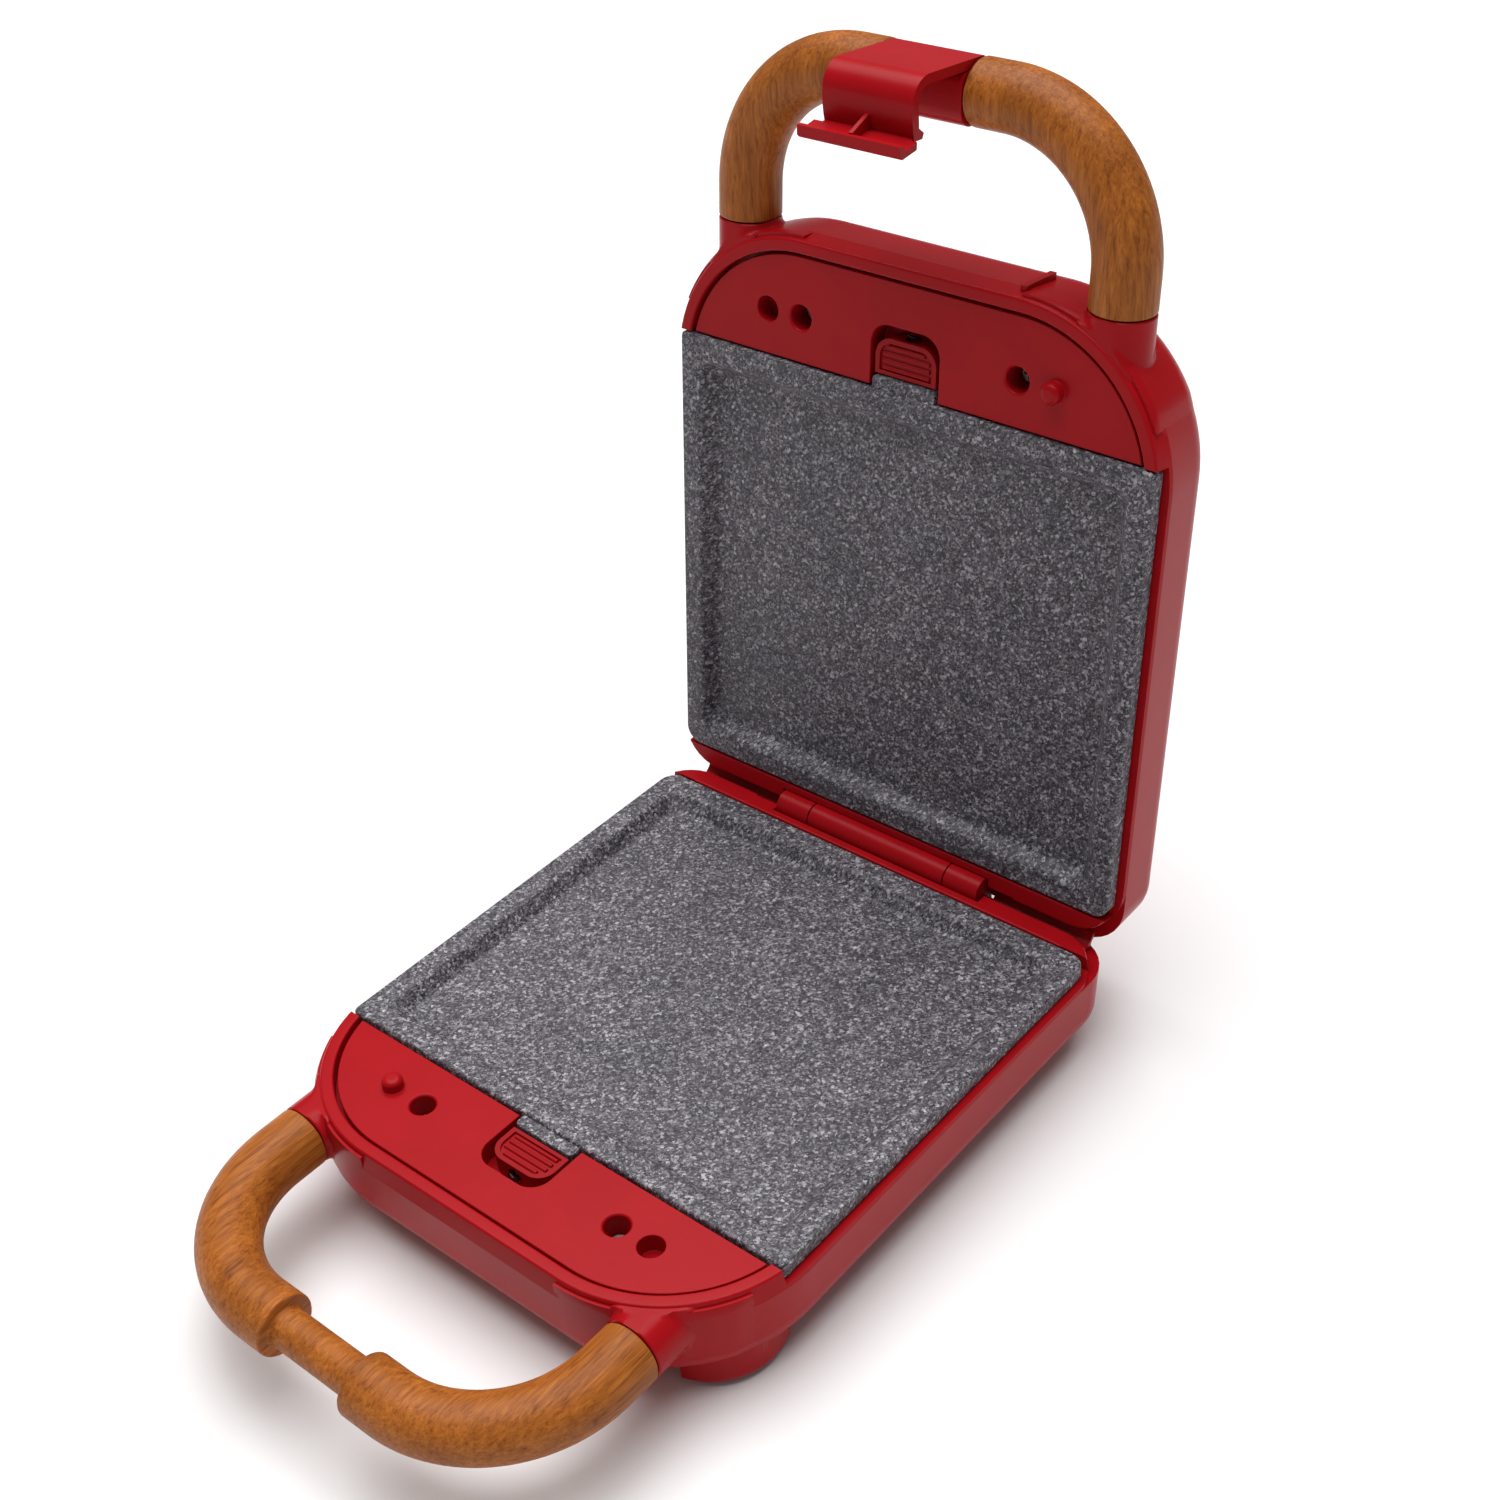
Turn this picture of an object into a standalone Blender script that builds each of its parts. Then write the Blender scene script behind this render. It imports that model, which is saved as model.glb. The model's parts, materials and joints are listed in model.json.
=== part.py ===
"""A small hinged plate press: two red casings, removable plates, loop handles and a latch clip.

Each casing half is modelled in its own half frame. The hinge axis is the X axis, the rim plane is
z = 0, the body lies below it, and the front points towards -Y. The lid is the same moulding turned
half a turn about Y, then swung open about the hinge axis. All sizes are in metres.
"""
import math

import bmesh
import bpy
from mathutils import Matrix, Vector

# ---------------------------------------------------------------- driving dimensions
HINGE_Y = 0.0801
HINGE_Z = 0.0300
OPEN_ANGLE = math.radians(95.6)
GAP = 0.0003

HALF_WIDTH = 0.0678
FRONT_Y = -0.1530
REAR_Y = 0.0045
FRONT_RADIUS = 0.0380
REAR_RADIUS = 0.0120
RIM_Z = -0.0004
RIM_INSET = 0.0008
BOTTOM_INSET = 0.0006
BODY_DEPTH = 0.0240
BOTTOM_RADIUS = 0.0080
WALL = 0.0022

FRONT_STEPS = 8
REAR_STEPS = 3
BOTTOM_TURN = [math.radians(a) for a in (0, 30, 60, 90)]

BAND_WIDTH = 0.0040
BAND_DEPTH = 0.0043
LEDGE_INSET = 0.0064
HINGE_SHELF_Z = -0.0054
HINGE_FACE_Y = -0.0006
CAVITY_REAR_Y = -0.0059
SIDE_WALL_Z = -0.0043

PLATE_HALF = 0.0659
PLATE_FRONT_Y = -0.1223
PLATE_REAR_Y = -0.0064
PLATE_TOP = -0.0002
PLATE_SIDE_Z = -0.0039
PLATE_FLOOR = -0.0040
PLATE_THICK = 0.0020
PLATE_RIM = 0.0058
PLATE_SLOPE = 0.0032
PLATE_REAR_RADIUS = 0.0042
TONGUE_HALF = 0.0086
TONGUE_FRONT_Y = -0.1254

DECK_TOP = -0.0012
DECK_THICK = 0.0024
DECK_INSET = 0.0046
DECK_REAR_Y = -0.1228
HOLE_Y = -0.1336
SCREW_X = 0.0298
PEG_X = 0.0395
NOTCH_HALF = 0.0095
NOTCH_FRONT_Y = -0.1378
WELL_FLOOR = -0.0068

BUTTON_HALF = 0.0084
BUTTON_FRONT_Y = -0.1346
BUTTON_REAR_Y = -0.1258
BUTTON_TOP = -0.0017

HANDLE_X = 0.0502
HANDLE_Y = -0.1909
HANDLE_Z = -0.0079
GRIP_START_Y = -0.1521
GRIP_RADIUS = 0.0074
GRIP_RADIUS_MIDDLE = 0.0073
HANDLE_BEND = 0.0307
SPIGOT_RADIUS = 0.0045
SPIGOT_LENGTH = 0.0080
NECK_RADIUS = 0.0046
NECK_HALF = 0.0120

KNUCKLE_RADIUS = 0.0036
KNUCKLE_BORE = 0.0016
HINGE_PIN_RADIUS = 0.00125
HINGE_NOTCH_HALF = 0.0325
HINGE_NOTCH_Y = -0.0039
BASE_KNUCKLES = ((-0.0316, -0.0216), (0.0216, 0.0316))
LID_KNUCKLES = ((-0.0212, 0.0212),)
PIN_ENDS = (-0.0312, 0.0297)
BORE_END = 0.0300
SHROUD_X = (0.0329, 0.0610)
SHROUD_RADII = (0.0042, 0.0051)

FOOT_BOTTOM = -0.0285
FOOT_INSET = 0.0015
FOOT_SPAN = (-52, 4)
FOOT_EDGE = 0.0012
REAR_FOOT = (0.0530, -0.0110)
REAR_FOOT_RADIUS = 0.0080
FRONT_PAD = (0.0547, -0.1266)
PAD_RADIUS = 0.0055
PAD_THICK = 0.0012

GLAND_X = -0.0420
GLAND_Z = -0.0150
LENS_X = 0.0085
LENS_Y = -0.1300

SPRING_Y = (-0.1374, -0.1318)
SPRING_Z = -0.0046
SPRING_RADIUS = 0.0013
SPRING_WIRE = 0.00022

ELEMENT_Z = -0.0099
ELEMENT_RADIUS = 0.0030
ELEMENT_BEND = 0.0070
TERMINALS = (0.0150, -0.0300)
PAN_FLOOR = -0.0137
PAN_THICK = 0.0006
PAN_TOP = -0.0086
POST_FOOT = -0.0225

CLIP_PIVOT_Y = -0.1907
CLIP_PIVOT_Z = -0.0064
CLIP_HALF = 0.0115
CLIP_THICK = 0.0021
CLIP_ARM_Y = -0.1981
CLIP_FACE_Z = 0.0160
CLIP_CORNER = 0.0032
CLIP_END_Y = -0.1852
LIP_HALF = 0.0132
BRIDGE_HALF = 0.0117
BRIDGE_INNER_Y = -0.1842
BRIDGE_RADIUS = 0.0050
BRIDGE_SPIGOT = 0.0033

RED = (0.52, 0.020, 0.028, 1.0)
DARK_RED = (0.40, 0.012, 0.018, 1.0)


# ---------------------------------------------------------------- materials
def material(name, color, roughness, metallic):
    existing = bpy.data.materials.get(name)
    if existing:
        return existing
    made = bpy.data.materials.new(name)
    made.use_nodes = True
    shader = made.node_tree.nodes["Principled BSDF"]
    shader.inputs["Base Color"].default_value = color
    shader.inputs["Roughness"].default_value = roughness
    shader.inputs["Metallic"].default_value = metallic
    return made


def finish_material(kind):
    """The material of one kind of piece."""
    table = {
        "casing": (RED, 0.25, 0.0),
        "button": (DARK_RED, 0.35, 0.0),
        "granite": ((0.12, 0.115, 0.13, 1.0), 0.55, 0.2),
        "wood": ((0.45, 0.20, 0.06, 1.0), 0.50, 0.0),
        "steel": ((0.60, 0.60, 0.62, 1.0), 0.30, 1.0),
        "element": ((0.20, 0.20, 0.19, 1.0), 0.55, 0.8),
        "aluminium": ((0.75, 0.75, 0.76, 1.0), 0.35, 1.0),
        "ceramic": ((0.85, 0.83, 0.78, 1.0), 0.50, 0.0),
        "rubber": ((0.03, 0.03, 0.03, 1.0), 0.80, 0.0),
        "lens": ((0.80, 0.25, 0.05, 1.0), 0.15, 0.0),
    }
    color, roughness, metallic = table[kind]
    return material(kind, color, roughness, metallic)


# ---------------------------------------------------------------- mesh helpers
def to_object(name, bm, kind):
    """Close a bmesh into a named object with faces pointing out."""
    bmesh.ops.recalc_face_normals(bm, faces=bm.faces)
    mesh = bpy.data.meshes.new(name)
    bm.to_mesh(mesh)
    bm.free()
    mesh.materials.append(finish_material(kind))
    made = bpy.data.objects.new(name, mesh)
    bpy.context.scene.collection.objects.link(made)
    return made


def loft(bm, loops):
    """Skin through closed loops of equal length and cap both ends."""
    rings = [[bm.verts.new(point) for point in loop] for loop in loops]
    count = len(rings[0])
    for lower, upper in zip(rings, rings[1:]):
        for i in range(count):
            j = (i + 1) % count
            bm.faces.new((lower[i], lower[j], upper[j], upper[i]))
    bm.faces.new(rings[0])
    bm.faces.new(rings[-1])


def add_prism(bm, outline, low, high, axis="Z"):
    """Extrude a 2-D outline between two stations along an axis."""
    place = {
        "Z": lambda u, v, w: (u, v, w),
        "X": lambda u, v, w: (w, u, v),
        "Y": lambda u, v, w: (u, w, v),
    }[axis]
    loft(bm, [[place(u, v, w) for u, v in outline] for w in (low, high)])


def add_box(bm, low, high):
    outline = [(low[0], low[1]), (high[0], low[1]), (high[0], high[1]), (low[0], high[1])]
    add_prism(bm, outline, low[2], high[2])


def circle(u, v, radius, count):
    return [
        (u + radius * math.cos(math.tau * i / count), v + radius * math.sin(math.tau * i / count))
        for i in range(count)
    ]


def arc(u, v, radius, start, end, steps):
    """Points of an arc from one angle to another, in degrees."""
    angles = [math.radians(start + (end - start) * i / steps) for i in range(steps + 1)]
    return [(u + radius * math.cos(a), v + radius * math.sin(a)) for a in angles]


def add_turned(bm, center, profile, count, axis="Z"):
    """Stack circles along an axis: profile is a list of (radius, station)."""
    swap = {
        "Z": lambda a, b, s: (center[0] + a, center[1] + b, s),
        "Y": lambda a, b, s: (center[0] + a, s, center[1] + b),
        "X": lambda a, b, s: (s, center[0] + a, center[1] + b),
    }[axis]
    loft(bm, [[swap(a, b, station) for a, b in circle(0, 0, radius, count)]
              for radius, station in profile])


def rounded_path(corners, radius, steps):
    """A path through corners whose interior corners are filleted."""
    corners = [Vector(c) for c in corners]
    path = [corners[0]]
    for before, corner, after in zip(corners, corners[1:], corners[2:]):
        to_before = (before - corner).normalized()
        to_after = (after - corner).normalized()
        half = to_before.angle(to_after) / 2
        reach = radius / math.tan(half)
        center = corner + (to_before + to_after).normalized() * (radius / math.sin(half))
        start = corner + to_before * reach - center
        axis = start.cross(corner + to_after * reach - center)
        turn = (math.pi - 2 * half) / steps
        path += [center + Matrix.Rotation(turn * i, 3, axis) @ start for i in range(steps + 1)]
    path.append(corners[-1])
    return path


def add_tube(bm, path, radii, count):
    """Sweep a circle along a path, with one radius for each point."""
    path = [Vector(p) for p in path]
    previous = (path[1] - path[0]).normalized()
    side = previous.orthogonal().normalized()
    rings = []
    for i, point in enumerate(path):
        ahead = path[min(i + 1, len(path) - 1)] - point
        behind = point - path[max(i - 1, 0)]
        tangent = (ahead.normalized() + behind.normalized()).normalized()
        side = (previous.rotation_difference(tangent) @ side).normalized()
        previous = tangent
        up = tangent.cross(side)
        rings.append([tuple(point + radii[i] * (math.cos(math.tau * k / count) * side
                                               + math.sin(math.tau * k / count) * up))
                      for k in range(count)])
    loft(bm, rings)


def combine(target, tool, operation):
    """Apply an exact Boolean of target with tool and drop the tool."""
    modifier = target.modifiers.new(operation.lower(), "BOOLEAN")
    modifier.operation = operation
    modifier.solver = "EXACT"
    modifier.object = tool
    graph = bpy.context.evaluated_depsgraph_get()
    mesh = bpy.data.meshes.new_from_object(target.evaluated_get(graph))
    target.modifiers.clear()
    target.data = mesh
    bpy.data.objects.remove(tool)


def each_shape(target, operation, builders):
    """Combine the target with one tool for each builder function."""
    for index, build in enumerate(builders):
        bm = bmesh.new()
        build(bm)
        combine(target, to_object(f"tool_{index}", bm, "casing"), operation)


# ---------------------------------------------------------------- casing
def casing_outline(inset, rear):
    """D-shaped plan of the casing, drawn in by inset, with its rear edge at the given y."""
    half = HALF_WIDTH - inset
    low = FRONT_Y + inset
    big = max(FRONT_RADIUS - inset, 0.002)
    small = max(REAR_RADIUS - inset, 0.002)
    points = arc(half - small, rear - small, small, 0, 90, REAR_STEPS)
    points += arc(small - half, rear - small, small, 90, 180, REAR_STEPS)
    points += arc(big - half, low + big, big, 180, 270, FRONT_STEPS)
    points += arc(half - big, low + big, big, 270, 360, FRONT_STEPS)
    return points


def casing_loop(inset, z, rear):
    return [(x, y, z) for x, y in casing_outline(inset, rear)]


def casing_solid(name):
    """The outer skin, from the flat bottom up to the rim."""
    loops = []
    for angle in BOTTOM_TURN:
        inset = BOTTOM_INSET + BOTTOM_RADIUS * (1 - math.sin(angle))
        z = -BODY_DEPTH + BOTTOM_RADIUS * (1 - math.cos(angle))
        loops.append(casing_loop(inset, z, REAR_Y - inset))
    loops.append(casing_loop(0.0, HINGE_SHELF_Z, REAR_Y))
    loops.append(casing_loop(0.0, HINGE_SHELF_Z + 0.00005, HINGE_FACE_Y))
    loops.append(casing_loop(RIM_INSET, RIM_Z, HINGE_FACE_Y))
    bm = bmesh.new()
    loft(bm, loops)
    return to_object(name, bm, "casing")


def cavity(bm):
    """The hollow: deck recess, plate ledge, then the full width below the ledge."""
    ledge_rear = CAVITY_REAR_Y - 0.0016
    under_shelf = HINGE_SHELF_Z - 0.0026
    side = WALL + 0.0004
    loops = [
        casing_loop(BAND_WIDTH, 0.0010, CAVITY_REAR_Y),
        casing_loop(BAND_WIDTH, -BAND_DEPTH, CAVITY_REAR_Y),
        casing_loop(LEDGE_INSET, -BAND_DEPTH - 0.00005, ledge_rear),
        casing_loop(LEDGE_INSET, -BAND_DEPTH - 0.0016, ledge_rear),
        casing_loop(side, under_shelf, ledge_rear + 0.001),
        casing_loop(side, under_shelf - 0.0001, REAR_Y - side),
    ]
    radius = BOTTOM_RADIUS - WALL
    for angle in reversed(BOTTOM_TURN[:-1]):
        inset = BOTTOM_INSET + WALL + radius * (1 - math.sin(angle))
        z = -BODY_DEPTH + WALL + radius * (1 - math.cos(angle))
        loops.append(casing_loop(inset, z, REAR_Y - inset))
    loft(bm, loops)


def side_cut(side):
    """The side wall is lower along the plate."""
    def build(bm):
        inner = 0.0545
        x_low, x_high = sorted((side * inner, side * (HALF_WIDTH + 0.002)))
        add_box(bm, (x_low, DECK_REAR_Y, SIDE_WALL_Z), (x_high, CAVITY_REAR_Y, 0.002))
    return build


def hinge_notch(bm):
    """Room for the knuckles behind the plate."""
    add_box(bm, (-HINGE_NOTCH_HALF, HINGE_NOTCH_Y, HINGE_SHELF_Z - 0.0001),
            (HINGE_NOTCH_HALF, 0.006, 0.002))


def knuckle(low, high):
    """A hinge barrel on a web that stands on the shelf."""
    def build(bm):
        outline = arc(0, 0, KNUCKLE_RADIUS, 0, 180, 10)
        outline += [(-KNUCKLE_RADIUS, HINGE_SHELF_Z - 0.0008), (KNUCKLE_RADIUS, HINGE_SHELF_Z - 0.0008)]
        add_prism(bm, outline, low, high, "X")
    return build


def pin_bore(bm):
    """The bore is open at -X and blind at the other end of the base's knuckles."""
    add_turned(bm, (0, 0), [(KNUCKLE_BORE, -0.04), (KNUCKLE_BORE, BORE_END)], 12, "X")


def hinge_shroud(side):
    """A curved guard on the base's shelf that closes the slit beside the knuckles."""
    def build(bm):
        inner, outer = SHROUD_RADII
        foot = HINGE_SHELF_Z - 0.0004
        outline = [(HINGE_FACE_Y - 0.0003, foot), (HINGE_FACE_Y - 0.0003, -inner)]
        outline += arc(0, 0, inner, -90, -22, 6) + arc(0, 0, outer, -22, -55, 3)
        outline += [(outer * math.cos(math.radians(55)), foot)]
        low, high = sorted(side * x for x in SHROUD_X)
        add_prism(bm, outline, low, high, "X")
    return build


def handle_stub(side):
    """The round stub that carries a grip, with a thinner spigot for the grip's bore."""
    def build(bm):
        profile = [
            (GRIP_RADIUS, -0.1380),
            (GRIP_RADIUS, GRIP_START_Y),
            (SPIGOT_RADIUS, GRIP_START_Y),
            (SPIGOT_RADIUS, GRIP_START_Y - SPIGOT_LENGTH),
        ]
        add_turned(bm, (side * HANDLE_X, HANDLE_Z), profile, 16, "Y")
    return build


def screw_post(side):
    def build(bm):
        add_turned(bm, (side * SCREW_X, HOLE_Y), [(0.0040, POST_FOOT), (0.0040, -0.0106)], 10)
    return build


def screw_post_bore(side):
    def build(bm):
        add_turned(bm, (side * SCREW_X, HOLE_Y), [(0.0016, -0.0205), (0.0016, -0.0100)], 8)
    return build


def pan_post(x, y):
    def build(bm):
        add_turned(bm, (x, y), [(0.0030, POST_FOOT), (0.0030, -0.0146)], 8)
    return build


def front_foot(side):
    """A crescent foot that follows the front corner."""
    def build(bm):
        center_x = side * (HALF_WIDTH - FRONT_RADIUS)
        center_y = FRONT_Y + FRONT_RADIUS
        start, end = FOOT_SPAN
        outer = arc(0, 0, FRONT_RADIUS - FOOT_INSET, start, end, 7)
        inner = arc(0, 0, FRONT_RADIUS - 0.0185, end, start, 5)
        plan = [(side * x, y) for x, y in outer + inner]
        tip = [(x * 0.985, y * 0.985) for x, y in plan]
        stations = [(plan, POST_FOOT + 0.001), (plan, FOOT_BOTTOM + FOOT_EDGE), (tip, FOOT_BOTTOM)]
        loft(bm, [[(center_x + x, center_y + y, z) for x, y in shape] for shape, z in stations])
    return build


def rear_foot(side):
    def build(bm):
        radius = REAR_FOOT_RADIUS
        profile = [(radius, POST_FOOT), (radius, FOOT_BOTTOM + FOOT_EDGE), (radius - 0.001, FOOT_BOTTOM)]
        add_turned(bm, (side * REAR_FOOT[0], REAR_FOOT[1]), profile, 14)
    return build


def casing(name, knuckles, extras, holes):
    """Cut and join one casing: outside first, then the hollow, then the posts on its floor."""
    shell = casing_solid(name)
    each_shape(shell, "DIFFERENCE", [side_cut(-1), side_cut(1), hinge_notch])
    outside = [knuckle(low, high) for low, high in knuckles]
    outside += [handle_stub(-1), handle_stub(1)]
    each_shape(shell, "UNION", outside + extras)
    each_shape(shell, "DIFFERENCE", [cavity, pin_bore] + holes)
    posts = [screw_post(-1), screw_post(1)]
    posts += [pan_post(x, y) for x in (-0.045, 0.045) for y in (-0.105, -0.025)]
    each_shape(shell, "UNION", posts)
    each_shape(shell, "DIFFERENCE", [screw_post_bore(-1), screw_post_bore(1)])
    return shell


def gland_hole(bm):
    add_turned(bm, (GLAND_X, GLAND_Z), [(0.0040, 0.0), (0.0040, 0.0080)], 12, "Y")


def base_housing():
    extras = [front_foot(-1), front_foot(1), rear_foot(-1), rear_foot(1), hinge_shroud(-1), hinge_shroud(1)]
    return casing("base_housing", BASE_KNUCKLES, extras, [gland_hole])


def lens_hole(side):
    def build(bm):
        add_turned(bm, (side * LENS_X, LENS_Y), [(0.0035, -0.0260), (0.0035, -0.0200)], 12)
    return build


def lid_housing():
    return casing("lid_housing", LID_KNUCKLES, [], [lens_hole(-1), lens_hole(1)])


def foot_pad(name, x, y):
    top = FOOT_BOTTOM - GAP
    bm = bmesh.new()
    add_turned(bm, (x, y), [(PAD_RADIUS, top), (PAD_RADIUS, top - PAD_THICK * 0.7),
                            (PAD_RADIUS - 0.0005, top - PAD_THICK)], 14)
    return to_object(name, bm, "rubber")


# ---------------------------------------------------------------- deck, button, screws
def notch_outline(half, front, rear, radius):
    """An arch with two rounded front corners."""
    points = arc(radius - half, front + radius, radius, 180, 270, 3)
    points += arc(half - radius, front + radius, radius, 270, 360, 3)
    return points + [(half, rear), (-half, rear)]


def deck_outline():
    """The part of the casing's plan, inside the rim band, that lies in front of the plate."""
    plan = casing_outline(DECK_INSET, CAVITY_REAR_Y)
    front = [(x, y) for x, y in plan if y < DECK_REAR_Y]
    big = FRONT_RADIUS - DECK_INSET
    center_y = FRONT_Y + FRONT_RADIUS
    edge_x = HALF_WIDTH - FRONT_RADIUS + math.sqrt(big ** 2 - (DECK_REAR_Y - center_y) ** 2)
    return [(-edge_x, DECK_REAR_Y)] + front + [(edge_x, DECK_REAR_Y)]


def deck(name):
    bm = bmesh.new()
    bottom = DECK_TOP - DECK_THICK
    add_prism(bm, deck_outline(), bottom, DECK_TOP)
    made = to_object(name, bm, "casing")

    def well(bm):
        outline = notch_outline(NOTCH_HALF + 0.0016, NOTCH_FRONT_Y - 0.0016, DECK_REAR_Y, 0.0062)
        add_prism(bm, outline, WELL_FLOOR - 0.0014, bottom + 0.0006)

    def boss(side):
        def build(bm):
            add_turned(bm, (side * SCREW_X, HOLE_Y), [(0.0046, -0.0102), (0.0046, bottom + 0.0006)], 10)
        return build

    def cup(bm):
        add_turned(bm, (PEG_X, HOLE_Y), [(0.0042, -0.0072), (0.0042, bottom + 0.0006)], 10)

    def peg(bm):
        profile = [(0.0025, bottom + 0.0006), (0.0025, 0.0009), (0.0020, 0.0015), (0.0010, 0.0018)]
        add_turned(bm, (-PEG_X, HOLE_Y), profile, 10)

    each_shape(made, "UNION", [well, boss(-1), boss(1), cup, peg])

    def notch(bm):
        outline = notch_outline(NOTCH_HALF, NOTCH_FRONT_Y, DECK_REAR_Y + 0.002, 0.0050)
        add_prism(bm, outline, WELL_FLOOR, 0.001)

    def screw_hole(side):
        def build(bm):
            profile = [(0.0017, -0.0110), (0.0017, -0.0082), (0.0029, -0.0082),
                       (0.0029, DECK_TOP - 0.0006), (0.0036, DECK_TOP + 0.0001), (0.0036, 0.001)]
            add_turned(bm, (side * SCREW_X, HOLE_Y), profile, 12)
        return build

    def blind_hole(bm):
        add_turned(bm, (PEG_X, HOLE_Y), [(0.0031, -0.0060), (0.0031, 0.001)], 12)

    each_shape(made, "DIFFERENCE", [notch, screw_hole(-1), screw_hole(1), blind_hole])
    return made


def release_button(name):
    """A ribbed thumb slide with a tunnel for its spring, open at the front."""
    bm = bmesh.new()
    bottom = WELL_FLOOR + GAP
    body_top = BUTTON_TOP
    outline = notch_outline(BUTTON_HALF, BUTTON_FRONT_Y, BUTTON_REAR_Y, 0.0044)
    add_prism(bm, outline, bottom, body_top)
    made = to_object(name, bm, "button")

    def rib(index):
        def build(bm):
            y = BUTTON_REAR_Y - 0.0014 - 0.0017 * index
            half = 0.0064 if index < 3 else 0.0050
            add_box(bm, (-half, y - 0.0004, body_top - 0.0004), (half, y + 0.0004, body_top + 0.0006))
        return build

    def tunnel(bm):
        radius = SPRING_RADIUS + 0.0007
        add_turned(bm, (0, SPRING_Z), [(radius, BUTTON_FRONT_Y - 0.006), (radius, BUTTON_FRONT_Y + 0.0061)], 8, "Y")

    each_shape(made, "UNION", [rib(index) for index in range(4)])
    each_shape(made, "DIFFERENCE", [tunnel])
    return made


def button_spring(name):
    """A coil spring at its pressed length."""
    turns = 4
    steps = 7
    path = []
    for i in range(turns * steps + 1):
        angle = math.tau * i / steps
        y = SPRING_Y[0] + (SPRING_Y[1] - SPRING_Y[0]) * i / (turns * steps)
        path.append((SPRING_RADIUS * math.cos(angle), y, SPRING_Z + SPRING_RADIUS * math.sin(angle)))
    bm = bmesh.new()
    add_tube(bm, path, [SPRING_WIRE] * len(path), 4)
    return to_object(name, bm, "steel")


def deck_screw(name, side):
    """A pan-head screw with a cross recess."""
    x = side * SCREW_X
    bm = bmesh.new()
    profile = [(0.0011, -0.0190), (0.0011, -0.0079), (0.0025, -0.0079), (0.0025, -0.0068), (0.0018, -0.0062)]
    add_turned(bm, (x, HOLE_Y), profile, 10)
    made = to_object(name, bm, "steel")

    def slot(wide, deep):
        def build(bm):
            add_box(bm, (x - wide, HOLE_Y - deep, -0.0070), (x + wide, HOLE_Y + deep, -0.0060))
        return build

    each_shape(made, "DIFFERENCE", [slot(0.0014, 0.0003), slot(0.0003, 0.0014)])
    return made


# ---------------------------------------------------------------- plate and heating
def plate_loop(inset, z):
    half = PLATE_HALF - inset
    rear = PLATE_REAR_Y - inset
    front = PLATE_FRONT_Y + inset
    rear_radius = PLATE_REAR_RADIUS
    front_radius = 0.0012 if inset < 0.004 else 0.0030
    points = arc(half - rear_radius, rear - rear_radius, rear_radius, 0, 90, 4)
    points += arc(rear_radius - half, rear - rear_radius, rear_radius, 90, 180, 4)
    points += arc(front_radius - half, front + front_radius, front_radius, 180, 270, 2)
    points += arc(half - front_radius, front + front_radius, front_radius, 270, 360, 2)
    return [(x, y, z) for x, y in points]


def plate(name):
    """A pressed pan: flat raised rim, sloped step, flat floor and a skirt."""
    bm = bmesh.new()
    under_rim = PLATE_TOP - PLATE_THICK
    loft(bm, [
        plate_loop(PLATE_RIM + PLATE_SLOPE, PLATE_FLOOR),
        plate_loop(PLATE_RIM, PLATE_TOP - 0.0003),
        plate_loop(PLATE_RIM - 0.0005, PLATE_TOP),
        plate_loop(0.0006, PLATE_TOP),
        plate_loop(0.0, PLATE_TOP - 0.0006),
        plate_loop(0.0, PLATE_SIDE_Z),
        plate_loop(PLATE_THICK, PLATE_SIDE_Z),
        plate_loop(PLATE_THICK, under_rim),
        plate_loop(PLATE_RIM + 0.0003, under_rim),
        plate_loop(PLATE_RIM + PLATE_SLOPE + 0.0005, PLATE_FLOOR - PLATE_THICK),
    ])
    made = to_object(name, bm, "granite")

    def tongue(bm):
        outline = notch_outline(TONGUE_HALF, TONGUE_FRONT_Y, PLATE_FRONT_Y + 0.0010, 0.0008)
        add_prism(bm, outline, PLATE_SIDE_Z + 0.0004, PLATE_TOP - 0.0008)

    each_shape(made, "UNION", [tongue])
    return made


def heating_element(name):
    """A tubular rod bent round the plate, with both ends turned away through the pan."""
    reach, far, near = 0.0420, -0.1000, -0.0300
    end_x, end_z = TERMINALS[0], -0.0185
    corners = [(-end_x, near, end_z), (-end_x, near, ELEMENT_Z), (-reach, near, ELEMENT_Z),
               (-reach, far, ELEMENT_Z), (reach, far, ELEMENT_Z), (reach, near, ELEMENT_Z),
               (end_x, near, ELEMENT_Z), (end_x, near, end_z)]
    path = rounded_path(corners, ELEMENT_BEND, 3)
    bm = bmesh.new()
    add_tube(bm, path, [ELEMENT_RADIUS] * len(path), 8)
    return to_object(name, bm, "element")


def pan_loop(half, front, rear, z):
    radius = 0.0060
    points = arc(half - radius, rear - radius, radius, 0, 90, 3)
    points += arc(radius - half, rear - radius, radius, 90, 180, 3)
    points += arc(radius - half, front + radius, radius, 180, 270, 3)
    points += arc(half - radius, front + radius, radius, 270, 360, 3)
    return [(x, y, z) for x, y in points]


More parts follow.
